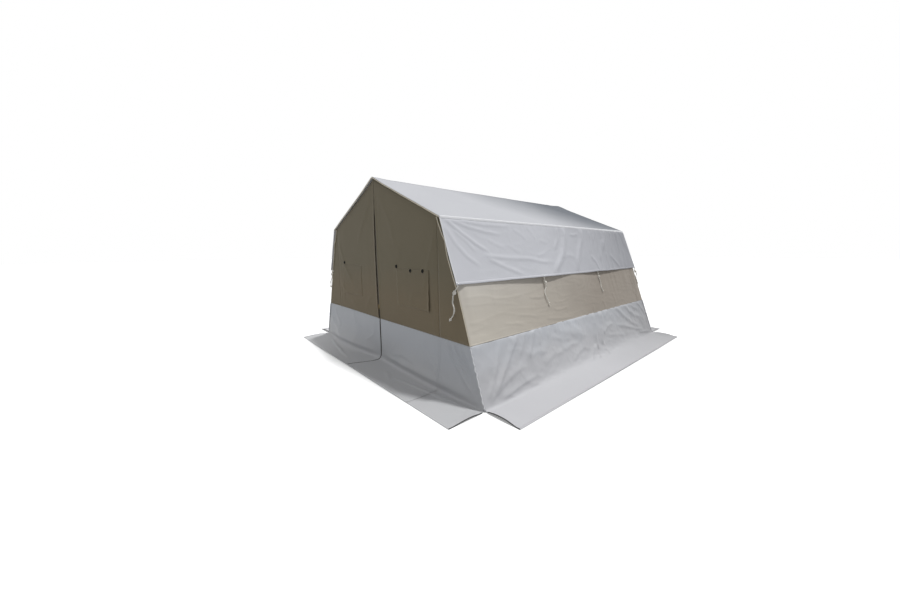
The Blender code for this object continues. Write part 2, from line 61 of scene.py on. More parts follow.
# The tent's profile, in metres, worked out from the frame.
canvasBox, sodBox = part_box("canvas_shell"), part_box("sod_wall")
halfLength, ridgeZ, bandZ = canvasBox[1].y, canvasBox[1].z, canvasBox[0].z
footX, eaveX, eaveZ = sodBox[1].x, 1.39, 1.77
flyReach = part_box("roof_fly")[1].y
flapReach = -sodBox[0].y - halfLength
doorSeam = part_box("front_panel_right")[0].x
front = -halfLength
sides = (("left", -1), ("right", 1))

up = Vector((0, 0, 1))
wallUp = Vector((eaveX - footX, 0, eaveZ)).normalized()
wallOut = Vector((wallUp.z, 0, -wallUp.x))
roofUp = Vector((-eaveX, 0, ridgeZ - eaveZ)).normalized()
roofRun = Vector((eaveX, 0, ridgeZ - eaveZ)).length
roofPitch = (ridgeZ - eaveZ) / eaveX


def wallX(z):
    return footX + (eaveX - footX) * z / eaveZ


def roofZ(x):
    return ridgeZ - abs(x) * roofPitch


def spread(low, high, step):
    count = max(1, round((high - low) / step))
    return [low + (high - low) * index / count for index in range(count + 1)]


def joinSpreads(*spans):
    # one rising list over spans that meet, each a low end, a high end and a step
    values = spread(*spans[0])
    for span in spans[1:]:
        values += spread(*span)[1:]
    return values


def ease(value, low, high):
    # 0 below low, 1 above high and smooth between them; high may be the smaller one
    share = min(1.0, max(0.0, (value - low) / (high - low)))
    return share * share * (3 - 2 * share)


def bump(value, centre, width):
    return math.exp(-((value - centre) / width) ** 2)


def ripple(a, b, seed):
    return noise.noise(Vector((a, b, seed * 7.31)))


def swell(row, a, b, seed):
    # a soft wave, from a row of its height and its length along each way of the cloth
    height, along, down = row
    return height * ripple(a / along, b / down, seed)


def gathered(row, a, b, seed):
    # puckers, which are the upper half of a wave
    height, along, down = row
    return height * max(0.0, ripple(a / along, b / down, seed))


def crease(a, b, seed, sharp=0.30):
    # a thin soft ridge wherever the noise crosses zero, as crumpled cloth shows
    return max(0.0, 1.0 - abs(ripple(a, b, seed)) / sharp) ** 1.6


def creased(row, a, b, seed):
    # creases from a row of their height, their length along each way and how broad they are
    height, along, down, sharp = row
    return height * crease(a / along, b / down, seed, sharp)


def fold(a, b, angle, length, width):
    # one straight fold from a corner, at an angle in degrees below the first axis
    turn = math.radians(angle)
    along = a * math.cos(turn) + b * math.sin(turn)
    across = b * math.cos(turn) - a * math.sin(turn)
    if along <= 0 or along >= length:
        return 0.0
    share = along / length
    return math.sin(math.pi * share ** 0.6) * bump(across, 0, width * (0.35 + share))


def foldMap(folds, lower=1):
    # adds up drawn folds, each a height in tenths of a millimetre, a width in millimetres, how much steeper
    # its lower side is, and its points in centimetres; lower is 1 where the second coordinate runs down the
    # cloth and -1 where it is a height
    laid = []
    for height, width, steep, *points in folds:
        width, path = width / 1000, [(a / 100, b / 100) for a, b in points]
        walked, parts = 0.0, []
        for p, q in zip(path, path[1:]):
            span = math.dist(p, q)
            parts.append((p, ((q[0] - p[0]) / span, (q[1] - p[1]) / span), span, walked))
            walked += span
        low = [min(point[k] for point in path) - 3 * width for k in (0, 1)]
        high = [max(point[k] for point in path) + 3 * width for k in (0, 1)]
        laid.append((height / 10000, width, steep, parts, walked, low, high))

    def relief(a, b):
        total = 0.0
        for height, width, steep, parts, whole, low, high in laid:
            if not (low[0] < a < high[0] and low[1] < b < high[1]):
                continue
            best = 0.0
            for p, way, span, walked in parts:
                one, other = a - p[0], b - p[1]
                along = min(span, max(0.0, one * way[0] + other * way[1]))
                across = (other * way[0] - one * way[1]) * lower
                gap = math.hypot(one - along * way[0], other - along * way[1])
                share = (walked + along) / whole
                reach = width if across < 0 else width / steep
                best = max(best, bump(gap, 0, reach) * min(1.0, share / 0.12, (1 - share) / 0.2))
            total += height * best
        return total
    return relief


def levelAt(table, a):
    # a value between the points of a table of places and values
    for (p, one), (q, other) in zip(table, table[1:]):
        if a <= q:
            return one + (other - one) * max(0.0, a - p) / (q - p)
    return table[-1][1]


def turnOut(reach, up, out, bend):
    # a point on a soft turn from one slope to another; reach is minus up the first and plus along the second
    rise = (math.sqrt(reach * reach + bend * bend) - reach) / 2
    run = (math.sqrt(reach * reach + bend * bend) + reach) / 2
    return up * rise, out * run


# Camera at the photograph's viewing angle.
cameraSettings = {
    "place": (4.01, -3.90, 1.44),
    "azimuth": 45.82,
    "elevation": 6.95,
    "roll": -0.24,
    "lens": 13.048,
    "shift": (-0.0433, -0.0111),
}


def addCamera(settings):
    azimuth, elevation = math.radians(settings["azimuth"]), math.radians(settings["elevation"])
    level = math.cos(elevation)
    back = Vector((math.sin(azimuth) * level, -math.cos(azimuth) * level, math.sin(elevation)))
    right = Vector((math.cos(azimuth), math.sin(azimuth), 0))
    axes = Matrix((right, back.cross(right), back)).transposed().to_4x4()
    roll = Matrix.Rotation(math.radians(settings["roll"]), 4, "Z")
    camera = bpy.data.objects.new("camera", bpy.data.cameras.new("camera"))
    bpy.context.scene.collection.objects.link(camera)
    camera.matrix_world = Matrix.Translation(settings["place"]) @ axes @ roll
    camera.data.sensor_width = 36
    camera.data.lens = settings["lens"]
    camera.data.shift_x, camera.data.shift_y = settings["shift"]
    bpy.context.scene.camera = camera


addCamera(cameraSettings)
print("camera placed")


# Finishes.
def toLinear(hexColour):
    parts = [int(hexColour[start:start + 2], 16) / 255 for start in (1, 3, 5)]
    return [part / 12.92 if part <= 0.04045 else ((part + 0.055) / 1.055) ** 2.4 for part in parts] + [1.0]


def addNode(tree, kind, settings=None, links=None):
    # adds a node, sets its properties and sockets, and links the named sockets
    node = tree.nodes.new(kind)
    for name, value in (settings or {}).items():
        if isinstance(name, int) or name in node.inputs:
            node.inputs[name].default_value = value
        else:
            setattr(node, name, value)
    for name, socket in (links or {}).items():
        tree.links.new(socket, node.inputs[name])
    return node


def startFinish(name, shaderSettings):
    finish = bpy.data.materials.new(name)
    finish.use_nodes = True
    shader = finish.node_tree.nodes["Principled BSDF"]
    for socket, value in shaderSettings.items():
        shader.inputs[socket].default_value = value
    return finish, finish.node_tree, shader


def mixColours(tree, share, one, other):
    mixed = addNode(tree, "ShaderNodeMix", {"data_type": "RGBA"})
    tree.links.new(share, mixed.inputs["Factor"])
    for socket, colour in ((mixed.inputs[6], one), (mixed.inputs[7], other)):
        if isinstance(colour, str):
            socket.default_value = toLinear(colour)
        else:
            tree.links.new(colour, socket)
    return mixed.outputs[2]


def addRelief(tree, shader, layers):
    # bumps laid over each other on the shader's normal, each a height socket, a strength and a distance
    below = {}
    for height, strength, distance in layers:
        bumps = {"Strength": strength, "Distance": distance}
        layer = addNode(tree, "ShaderNodeBump", bumps, {"Height": height, **below})
        below = {"Normal": layer.outputs["Normal"]}
    tree.links.new(below["Normal"], shader.inputs["Normal"])


weaveSettings = {
    "soilAndLightCloud": (3.1, 6.0), "soilAndLightUneven": -0.35, "soilAndLightBand": 0.35, "paintedShadeCloud": (0.9, 3.0),
    "paintedShadeUneven": 0.8, "waver": 0.6, "threadDepth": 0.3, "crumpleDepth": 0.006,
}


def wovenCloth(name, look):
    # a woven cloth: threads both ways, patches of tone, a tone towards the ground (soil, and painted light
    # over the front laminate's flaps), and painted shade that darkens it along one way
    look = {**weaveSettings, **look}
    finish, tree, shader = startFinish(name, look["shader"])
    cut = addNode(tree, "ShaderNodeUVMap", {"uv_map": "cut"}).outputs["UV"]
    spot = addNode(tree, "ShaderNodeTexCoord").outputs["Object"]

    def cloud(scale, detail, roughness=0.5):
        settings = {"Scale": scale, "Detail": detail, "Roughness": roughness}
        return addNode(tree, "ShaderNodeTexNoise", settings, {"Vector": spot}).outputs["Fac"]

    def share(value, cloudy, weight, low, high, most=1.0):
        # a share that rises from 0 to most while value, made uneven by a cloud, goes from low to high
        mixing = {"operation": "MULTIPLY_ADD", 1: weight}
        uneven = addNode(tree, "ShaderNodeMath", mixing, {0: cloudy, 2: value})
        ends = {"From Min": low, "From Max": high, "To Max": most}
        return addNode(tree, "ShaderNodeMapRange", ends, {"Value": uneven.outputs[0]}).outputs["Result"]

    tone = mixColours(tree, cloud(look["patchScale"], 4.0), look["dark"], look["pale"])
    # a tone towards the ground: soil, and over the front laminate's flaps painted light
    if "soilAndLight" in look:
        height = addNode(tree, "ShaderNodeSeparateXYZ", links={"Vector": spot}).outputs["Z"]
        top, speck = look["soilAndLightTop"], cloud(*look["soilAndLightCloud"])
        low = share(height, speck, look["soilAndLightUneven"], top, top - look["soilAndLightBand"], look["soilAndLightMost"])
        tone = mixColours(tree, low, tone, look["soilAndLight"])
    # painted shade: the tone darkens unevenly along one way, towards the rear
    if "paintedShade" in look:
        way = {"operation": "DOT_PRODUCT", 1: look["paintedShadeAlong"]}
        along = addNode(tree, "ShaderNodeVectorMath", way, {0: spot}).outputs["Value"]
        shadeCloud = cloud(*look["paintedShadeCloud"])
        shadeShare = share(along, shadeCloud, look["paintedShadeUneven"], look["paintedShadeFrom"], look["paintedShadeTo"])
        tone = mixColours(tree, shadeShare, tone, look["paintedShade"])
    tree.links.new(tone, shader.inputs["Base Color"])
    scale = 2 * math.pi / (20 * look["thread"])  # the Wave texture's scale for bands one thread apart
    threads = []
    for direction in ("X", "Y"):
        bands = {"bands_direction": direction, "Scale": scale, "Distortion": look["waver"], "Detail": 1.0}
        threads.append(addNode(tree, "ShaderNodeTexWave", bands, {"Vector": cut}).outputs["Fac"])
    weave = addNode(tree, "ShaderNodeMath", {"operation": "ADD"}, dict(enumerate(threads))).outputs[0]
    crumple = cloud(look["crumpleScale"], 5.0, 0.6)
    deep, soft = look["thread"] * look["threadDepth"], look["crumpleDepth"]
    addRelief(tree, shader, ((weave, look["weave"], deep), (crumple, look["crumple"], soft)))
    return finish


# Polyester-cotton canvas, plain weave and proofed: matt, with a fuzzy soft edge to its light.
# Its threads are 0.8 mm apart and are drawn 4 mm apart, so that they show.
sideCanvas = wovenCloth("proofed_canvas_sand", {
    "dark": "#d2ccc2", "pale": "#ded8ce", "soilAndLight": "#bfb5a2", "soilAndLightTop": 0.95, "soilAndLightMost": 0.3,
    # painted shade: the canvas darkens towards the rear
    "paintedShade": "#a1978b", "paintedShadeAlong": (0.0, 1.0, 0.0), "paintedShadeFrom": -1.4, "paintedShadeTo": 0.9,
    "patchScale": 1.6, "thread": 0.004, "weave": 0.08, "crumple": 0.25, "crumpleScale": 9.0,
    "shader": {"Roughness": 0.92, "Sheen Weight": 0.15, "Sheen Roughness": 0.6},
})
gableCanvas = wovenCloth("proofed_canvas_olive", {
    "dark": "#716853", "pale": "#79705a", "soilAndLight": "#85745a", "soilAndLightTop": 1.05, "soilAndLightMost": 0.5,
    "patchScale": 1.1, "thread": 0.004, "weave": 0.08, "crumple": 0.2, "crumpleScale": 7.0,
    "shader": {"Roughness": 0.92, "Sheen Weight": 0.1, "Sheen Roughness": 0.6},
})
# White acrylic-coated fly cloth, woven and calendered: smooth, cool white, a dull soft gloss.
flyCloth = wovenCloth("coated_fly_white", {
    # painted shade: the cloth darkens towards the rear
    "dark": "#d2d3d9", "pale": "#dddee3", "paintedShade": "#999a9f", "paintedShadeAlong": (0.0, 1.0, 0.0), "paintedShadeFrom": -0.2,
    "paintedShadeTo": 2.7, "patchScale": 0.9, "thread": 0.005, "weave": 0.06, "crumple": 0.25, "crumpleScale": 8.0,
    "shader": {"Roughness": 0.62, "Specular IOR Level": 0.4},
})
# The same cloth on the roof in a darker copy, as painted shade, and darker again towards the rear and the
# ridge, painted shade most of all over the rear bay.
roofCloth = wovenCloth("coated_fly_roof_painted_shade", {
    "dark": "#c4c5c9", "pale": "#cfd0d4", "paintedShade": "#787c82", "paintedShadeAlong": (0.0, 1.0, 1.4), "paintedShadeFrom": 2.6,
    "paintedShadeTo": 5.0, "patchScale": 0.8, "thread": 0.005, "weave": 0.06, "crumple": 0.25, "crumpleScale": 8.0,
    "shader": {"Roughness": 0.85, "Specular IOR Level": 0.12},
})
# The eave's turned strip, the skirts' end hems and the corner lacing: the same fly cloth in a paler copy, a
# painted highlight, so that they show brighter.
weltCloth = wovenCloth("coated_fly_welt_painted_highlight", {
    "dark": "#e4e5e8", "pale": "#f0f0f2", "patchScale": 9.0, "thread": 0.005, "weave": 0.15,
    "crumple": 0.4, "crumpleScale": 30.0, "shader": {"Roughness": 0.62, "Specular IOR Level": 0.4},
})
# Woven polyethylene tape, coated on both faces: cool grey, with a low broad gloss and visible tape squares.
sodLook = {
    "dark": "#bec1c7", "pale": "#c9ccd1", "soilAndLight": "#c3c1c2", "soilAndLightTop": 0.42, "soilAndLightMost": 0.6,
    # painted shade: the laminate darkens towards the rear
    "paintedShade": "#9a9a9c", "paintedShadeAlong": (0.0, 1.0, 0.0), "paintedShadeFrom": 0.2, "paintedShadeTo": 3.2,
    "patchScale": 1.3, "thread": 0.006, "weave": 0.08, "crumple": 0.35, "crumpleScale": 7.0,
    "shader": {"Roughness": 0.5, "IOR": 1.51},
}
sodCloth = wovenCloth("laminated_polyethylene_grey", sodLook)
# The same laminate at the front in a darker copy, painted shade; towards the ground it turns paler, painted
# light over the flaps.
sodFrontCloth = wovenCloth("laminated_polyethylene_front_painted_shade", {
    **sodLook, "dark": "#b2b5ba", "pale": "#bdc0c5", "soilAndLight": "#c0c0c1", "soilAndLightTop": 0.20, "soilAndLightMost": 0.85,
})
# The black back of the mud flaps: the same laminate with carbon in it.
flapBack = wovenCloth("laminated_polyethylene_black", {
    "dark": "#1b1b1c", "pale": "#262627", "patchScale": 2.0, "thread": 0.006, "weave": 0.2,
    "crumple": 0.3, "crumpleScale": 7.0, "shader": {"Roughness": 0.5, "IOR": 1.51},
})
# Cotton herringbone tape, bleached: off-white and matt.
cottonTape = wovenCloth("bleached_cotton_tape", {
    "dark": "#e6e2d8", "pale": "#f1eee6", "patchScale": 30.0, "thread": 0.0025, "weave": 0.5,
    "crumple": 0.3, "crumpleScale": 90.0, "shader": {"Roughness": 0.95, "Sheen Weight": 0.2},
})
# Unbleached canvas of the corner piping and the fly's rolled hems: matt, pale straw.
pipingCanvas = wovenCloth("unbleached_canvas_piping", {
    "dark": "#d9cfb9", "pale": "#e8dfcb", "patchScale": 12.0, "thread": 0.003, "weave": 0.4,
    "crumple": 0.3, "crumpleScale": 40.0, "shader": {"Roughness": 0.92, "Sheen Weight": 0.15},
})
# Quilted polycotton lining over hollow fibre: warm cream, matt, puffed between its stitch lines.
quiltCloth = wovenCloth("quilted_polycotton_cream", {
    "dark": "#c6bca6", "pale": "#d6cdb9", "patchScale": 2.2, "thread": 0.003, "weave": 0.25,
    "crumple": 0.5, "crumpleScale": 26.0, "shader": {"Roughness": 0.93, "Sheen Weight": 0.2},
})
# Woven polyethylene groundsheet, slate grey, with a low gloss.
groundCloth = wovenCloth("woven_polyethylene_slate", {
    "dark": "#4b5054", "pale": "#5a6064", "patchScale": 1.8, "thread": 0.006, "weave": 0.35,
    "crumple": 0.4, "crumpleScale": 6.0, "shader": {"Roughness": 0.55, "IOR": 1.51},
})
# Dyed polyester zip tape, dark brown and matt.
zipTape = wovenCloth("dyed_polyester_zip_tape", {
    "dark": "#2e230f", "pale": "#3b2e17", "patchScale": 14.0, "thread": 0.002, "weave": 0.5,
    "crumple": 0.2, "crumpleScale": 60.0, "shader": {"Roughness": 0.85, "Sheen Weight": 0.1},
})
# Knitted polyester insect net, black and matt.
netThread = wovenCloth("knitted_polyester_net", {
    "dark": "#17181a", "pale": "#232527", "patchScale": 20.0, "thread": 0.002, "weave": 0.3,
    "crumple": 0.2, "crumpleScale": 60.0, "shader": {"Roughness": 0.8},
})


def metalFinish(name, look):
    # metal or moulded nylon: crystals or grain in its tone and gloss, and fine pits
    finish, tree, shader = startFinish(name, look["shader"])
    spot = addNode(tree, "ShaderNodeTexCoord").outputs["Object"]
    scale = look["grainScale"]
    grain = addNode(tree, "ShaderNodeTexVoronoi", {"Scale": scale, "Randomness": 1.0}, {"Vector": spot})
    grey = addNode(tree, "ShaderNodeSeparateColor", links={"Color": grain.outputs["Color"]}).outputs["Red"]
    tree.links.new(mixColours(tree, grey, look["dark"], look["pale"]), shader.inputs["Base Color"])
    gloss = dict(zip(("To Min", "To Max"), look["gloss"]))
    dull = addNode(tree, "ShaderNodeMapRange", gloss, {"Value": grey})
    tree.links.new(dull.outputs["Result"], shader.inputs["Roughness"])
    pits = addNode(tree, "ShaderNodeTexNoise", {"Scale": scale * 4, "Detail": 4.0}, {"Vector": spot})
    addRelief(tree, shader, ((pits.outputs["Fac"], 0.15, 0.0006),))
    return finish


# Hot-dip galvanised steel: zinc crystals about 8 mm across, pale grey and half dull.
galvanisedSteel = metalFinish("galvanised_steel_spangled", {
    "dark": "#9fa2a5", "pale": "#b9bcbe", "gloss": (0.34, 0.5), "grainScale": 120.0,
    "shader": {"Metallic": 1.0},
})
# Die-cast zinc slider with a brass wash; the real one is rubbed paler where it is held.
brassedZinc = metalFinish("brassed_zinc_cast", {
    "dark": "#8f7a4c", "pale": "#b39d6b", "gloss": (0.3, 0.45), "grainScale": 300.0,
    "shader": {"Metallic": 1.0},
})
# Pressed aluminium of the skirts' eyelets, satin.
pressedAluminium = metalFinish("pressed_aluminium", {
    "dark": "#a9abad", "pale": "#c6c8ca", "gloss": (0.3, 0.42), "grainScale": 400.0,
    "shader": {"Metallic": 1.0},
})
# Moulded black nylon of the toggles and the zip's teeth: dull, with little shine.
blackNylon = metalFinish("moulded_nylon_black", {
    "dark": "#0c0b0a", "pale": "#141210", "gloss": (0.6, 0.75), "grainScale": 500.0,
    "shader": {"Metallic": 0.0, "IOR": 1.53, "Specular IOR Level": 0.1},
})
print("finishes made")


# Making cloth.
def linkObject(name, data, finishes):
    for finish in finishes:
        data.materials.append(finish)
    made = bpy.data.objects.new(name, data)
    bpy.context.scene.collection.objects.link(made)
    return made


def dress(made, body, slot=None, nodes=()):
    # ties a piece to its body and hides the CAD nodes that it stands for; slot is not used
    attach(made, body)
    if nodes:
        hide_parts(*nodes)
    return made


def layCloth(
    name, alongs, downs, place, finishes, relief=None, lift=0.0, thick=0.0012, flip=False, keep=None,
):
    # a sheet over a grid of distances in metres: place gives each point of the plain surface and relief its
    # height off it; keep says which of the grid's cells are cloth
    base = [[place(a, b) for b in downs] for a in alongs]
    columns, rows = len(alongs), len(downs)
    points = []
    for i, a in enumerate(alongs):
        for j, b in enumerate(downs):
            one = base[min(i + 1, columns - 1)][j] - base[max(i - 1, 0)][j]
            other = base[i][min(j + 1, rows - 1)] - base[i][max(j - 1, 0)]
            out = one.cross(other).normalized() * (-1 if flip else 1)
            points.append(base[i][j] + out * (lift + (relief(a, b) if relief else 0.0)))
    faces, cuts = [], []
    for i in range(columns - 1):
        for j in range(rows - 1):
            if keep and not keep((alongs[i] + alongs[i + 1]) / 2, (downs[j] + downs[j + 1]) / 2):
                continue
            ring = [(i, j), (i + 1, j), (i + 1, j + 1), (i, j + 1)][::-1 if flip else 1]
            faces.append([a * rows + b for a, b in ring])
            cuts.extend((alongs[a], downs[b]) for a, b in ring)
    mesh = bpy.data.meshes.new(name)
    mesh.from_pydata(points, [], faces)
    flat = mesh.uv_layers.new(name="cut")
    for loop, cut in zip(flat.data, cuts):
        loop.uv = cut
    mesh.shade_smooth()
    made = linkObject(name, mesh, finishes)
    if keep:
        dropLoose(mesh)
    body = made.modifiers.new("thickness", "SOLIDIFY")
    body.thickness = thick
    body.offset = -1.0
    if len(finishes) > 1:
        body.material_offset = 1  # the second finish is the cloth's back
    return made


def dropLoose(mesh):
    # points that no face uses, where keep has cut a window
    form = bmesh.new()
    form.from_mesh(mesh)
    bmesh.ops.delete(form, geom=[v for v in form.verts if not v.link_faces], context="VERTS")
    form.to_mesh(mesh)
    form.free()


quiltSettings = {
    "row": 0.11, "puff": 0.0045, "step": 0.045, "gableStep": 0.0105, "thick": 0.0145, "doorThick": 0.0085,
    "slack": 0.0005, "fill": 0.35, "windowLine": 0.004, "zipGap": 0.019,
}


def layQuilt(name, alongs, downs, place, relief, thick, body, node, flip=False, keep=None):
    # a padded cloth: its face puffs out between stitch lines, its back is flat, and its edges are closed
    quilt = layCloth(name, alongs, downs, place, [quiltCloth], relief, 0.0, thick, flip, keep)
    plain = layCloth(f"{name}_back", alongs, downs, place, [quiltCloth], None, -thick, thick, flip, keep)
    form = bmesh.new()
    form.from_mesh(quilt.data)
    count = len(form.verts)
    form.from_mesh(plain.data)
    form.verts.ensure_lookup_table()
    form.faces.ensure_lookup_table()
    bmesh.ops.reverse_faces(form, faces=[face for face in form.faces if face.verts[0].index >= count])
    flat = form.loops.layers.uv["cut"]
    for edge in [edge for edge in form.edges if edge.is_boundary and edge.verts[0].index < count]:
        loop = edge.link_loops[0]
        one, other = loop.vert.index, loop.link_loop_next.vert.index
        side = form.faces.new([form.verts[k] for k in (other, one, one + count, other + count)])
        side.smooth = True
        for corner, source in zip(side.loops, (loop.link_loop_next, loop, loop, loop.link_loop_next)):
            corner[flat].uv = source[flat].uv
    form.to_mesh(quilt.data)
    form.free()
    quilt.modifiers.clear()
    bpy.data.objects.remove(plain)
    dress(quilt, body, "quilted_lining", [node])


def drawCord(name, points, radius, finish, flatness=0.0, twist=0.0, closed=False):
    # a round cord or, with flatness, a tape that twists along its way
    curve = bpy.data.curves.new(name, "CURVE")
    curve.dimensions = "3D"
    curve.bevel_depth = radius * (1 - flatness)
    curve.extrude = radius * flatness
    curve.bevel_resolution = 3
    curve.use_fill_caps = True
    spline = curve.splines.new("POLY")
    spline.points.add(len(points) - 1)
    for index, (point, spot) in enumerate(zip(spline.points, points)):
        point.co = (*spot, 1.0)
        point.tilt = twist * index
    spline.use_cyclic_u = closed
    spline.use_smooth = True
    return linkObject(name, curve, [finish])


def smoothRoute(route, steps):
    ends = [route[0] * 2 - route[1], *route, route[-1] * 2 - route[-2]]
    points = []
    for a, b, c, d in zip(ends, ends[1:], ends[2:], ends[3:]):
        for step in range(steps):
            t = step / steps
            bend = (2 * a - 5 * b + 4 * c - d) * t * t + (3 * b - a - 3 * c + d) * t ** 3
            points.append((2 * b + (c - a) * t + bend) / 2)
    return points + [route[-1]]


def turned(name, profile, place, out, finish, sides=24):
    # a small ring or knob: a profile of radius and height, turned about the direction out
    points, faces = [], []
    frameTurn = Vector(out).to_track_quat("Z", "Y").to_matrix()
    count = len(profile)
    for index in range(sides):
        angle = 2 * math.pi * index / sides
        for radius, height in profile:
            spot = Vector((radius * math.cos(angle), radius * math.sin(angle), height))
            points.append(Vector(place) + frameTurn @ spot)
        near, far = index * count, (index + 1) % sides * count
        faces.extend((near + k, far + k, far + (k + 1) % count, near + (k + 1) % count) for k in range(count))
    mesh = bpy.data.meshes.new(name)
    mesh.from_pydata(points, [], faces)
    mesh.shade_smooth()
    mesh.set_sharp_from_angle(angle=math.radians(50))
    return linkObject(name, mesh, [finish])


def atSide(side, spot, y):
    # a point of the profile, set on one side of the tent at y
    return Vector((side * spot.x, y, spot.z))


# Ties: the routes that the part's source gives them, out from the wall, rearwards and down, in metres.
tieSettings = {
    "width": 0.010, "second": 0.7, "wind": 0.0055, "windTurn": 0.9, "wallGap": 0.008, "endInset": 0.012,
    "lead": 0.014, "steps": 3, "fitGap": 0.0003, "clothHalf": 0.0005,
    "knots": (("knot", 5, 0.0110), ("tail_knot", -2, 0.0080)), "knotCord": 0.55,
}
besideCorner = (
    (0.026, 0.004, 0.050), (0.034, 0.008, 0.095), (0.018, -0.002, 0.150), (0.012, -0.008, 0.215),
    (0.010, -0.004, 0.290),
)
acrossGable = (
    (-0.006, -0.012, 0.055), (-0.052, -0.022, 0.110), (-0.066, -0.026, 0.160), (-0.060, -0.030, 0.215),
    (-0.105, -0.032, 0.290), (-0.180, -0.034, 0.350),
)
downWall = (
    (0.022, 0.004, 0.050), (0.016, 0.018, 0.105), (0.010, -0.026, 0.165), (0.009, -0.030, 0.245),
    (0.009, 0.002, 0.345),
)
downWallShort = (
    (0.022, 0.002, 0.055), (0.014, 0.010, 0.120), (0.009, 0.016, 0.190), (0.009, 0.004, 0.250),
    (0.009, 0.024, 0.300),
)
tieRoutes = {
    "left": (besideCorner, downWallShort, downWall, besideCorner),
    "right": (acrossGable, downWall, downWallShort, besideCorner),
}

flare = math.radians(2.0)
flareTurn = Matrix.Rotation(-flare, 3, "Y")
skirtDown, skirtOut = flareTurn @ -wallUp, flareTurn @ wallOut
skirtRun = 0.66 / wallUp.z
firstHome = tieSettings["endInset"] - flyReach
tieHomes = [firstHome - 2 * firstHome * index / 3 for index in range(4)]


def tiePoints(side, y, route):
    hem = skirtHinge + skirtDown * skirtRun
    start = hem - skirtOut * tieSettings["clothHalf"] + skirtDown * tieSettings["fitGap"]
    lead = start + skirtDown * tieSettings["lead"]
    way = [Vector((lead.x, y, lead.z))]
    for out, rearwards, below in route:
        z = hem.z - below
        way.append(Vector((wallX(z) + out, y + rearwards, z)))
    points = [Vector((start.x, y, start.z)), *smoothRoute(way, tieSettings["steps"])]
    return [atSide(side, point, point.y) for point in points]


def knotPoints(centre, size, turns=28):
    # an overhand knot pulled close, as a trefoil loop
    points = []
    for index in range(turns):
        angle = 2 * math.pi * index / turns
        reach = 1 + 0.5 * math.cos(3 * angle)
        spot = Vector((reach * math.cos(2 * angle), 0.8 * math.sin(3 * angle), reach * math.sin(2 * angle)))
        points.append(Vector(centre) + spot * size)
    return points


def clearOfWall(point, side):
    # moves a point of a tie out to the swelled wall's face
    if abs(point.y) > halfLength:
        return point
    face = wallX(point.z) + wallRelief(point.y, point.z, side) / wallOut.x + tieSettings["wallGap"]
    return Vector((side * max(side * point.x, face), point.y, point.z))


def addTies():
    width, turn = tieSettings["width"], tieSettings["windTurn"]
    for where, side in sides:
        for index, (y, route) in enumerate(zip(tieHomes, tieRoutes[where])):
            name = f"fly_tie_{where}_{index + 1}"
            points = tiePoints(side, y, route)
            points = points[:3] + [clearOfWall(point, side) for point in points[3:]]
            tie = drawCord(f"{name}_tape", points, width / 2, cottonTape, 0.66, 0.85)
            wound = []  # the tape is doubled and its second strand winds round the first
            for k, point in enumerate(points[:-2]):
                aside = Vector((math.cos(turn * k), math.sin(turn * k), 0))
                wound.append(point + aside * tieSettings["wind"] * ease(k, 0, 2))
            second = width * tieSettings["second"]
            knots = [drawCord(f"{name}_second_strand", wound, second, cottonTape, 0.5, -0.7)]
            for label, at, size in tieSettings["knots"]:
                loop, cord = knotPoints(points[at], size), size * tieSettings["knotCord"]
                knots.append(drawCord(f"{name}_{label}", loop, cord, cottonTape, closed=True))
            for knot in knots:
                dress(knot, f"skirt_{where}", "cotton_tape")
            dress(tie, f"skirt_{where}", "cotton_tape", [name])
            length = sum((b - a).length for a, b in zip(points, points[1:]))
            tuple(points[0])


# Roof fly and its skirts.
flySettings = {
    "step": 0.03, "thick": 0.0010, "lift": 0.0016, "hem": 0.022, "hemStep": 0.008, "hemThick": 0.0014,
    "trimLift": 0.0016, "tapeHalf": 0.035, "tapeThick": 0.0012, "overhang": 0.0012, "baySag": 0.013,
    "ridgeRise": 0.010, "ridgeRound": 0.00006, "ridgeDrop": 0.0004,
}


def baySag(y, share):
    # how far cloth sinks between two arches, at a share of the way from the eave to the ridge
    bay = abs(math.sin(math.pi * y / halfLength))
    return bay ** 1.3 * math.sin(math.pi * min(1.0, max(0.0, share)))


def roofPlace(across, y):
    # across runs from the left eave to the right one over the ridge; the ridge is a little round
    x = across * eaveX / roofRun
    below = math.sqrt(x * x + flySettings["ridgeRound"]) - flySettings["ridgeDrop"]
    return Vector((x, y, ridgeZ - roofPitch * below))


def flyRelief(across, y):
    share = 1 - abs(across) / roofRun
    sag = flySettings["baySag"] * baySag(y, share) * (1.2 if across > 0 else 0.9)
    ends = flySettings["ridgeRise"] * ease(abs(y), 1.75, 2.02) * ease(share, 0.75, 1.0)
    soft = 0.0035 * ripple(across * 1.3, y * 1.1, 3) * ease(share, 0, 0.12)
    drawn = 0.0028 * crease(across * 2.2 + y, y * 0.8, 5) * ease(abs(y), 2.0, 1.7) * ease(share, 0, 0.15)
    edge = 0.0012 * ripple(across * 9, y * 3, 8) * ease(abs(y), 1.9, 2.02)
    return soft + drawn + ends + edge - sag


def layOnRoof(name, acrosses, ys, above, thick):
    lift = flySettings["lift"] + above
    cloth = layCloth(name, acrosses, ys, roofPlace, [roofCloth], flyRelief, lift, thick)
    return dress(cloth, "tent", "white_fly")


def addFly():
    step, hem, half = flySettings["step"], flySettings["hem"], flySettings["tapeHalf"]
    above, run = flySettings["trimLift"], roofRun + flySettings["overhang"]
    acrosses = sorted(set(spread(-run, run, step) + [-0.02, -0.01, 0.0, 0.01, 0.02]))
    lengthwise = spread(-flyReach, flyReach, step)
    fly = layOnRoof("roof_fly_cloth", acrosses, lengthwise, 0.0, flySettings["thick"])
    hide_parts("roof_fly")
    for end, low in (("front", -flyReach), ("rear", flyReach - hem)):
        ys = spread(low, low + hem, flySettings["hemStep"])
        layOnRoof(f"roof_fly_hem_{end}", acrosses, ys, above, flySettings["hemThick"])
    tape = spread(-half, half, half / 5)
    layOnRoof("roof_fly_ridge_tape", tape, lengthwise, above, flySettings["tapeThick"])


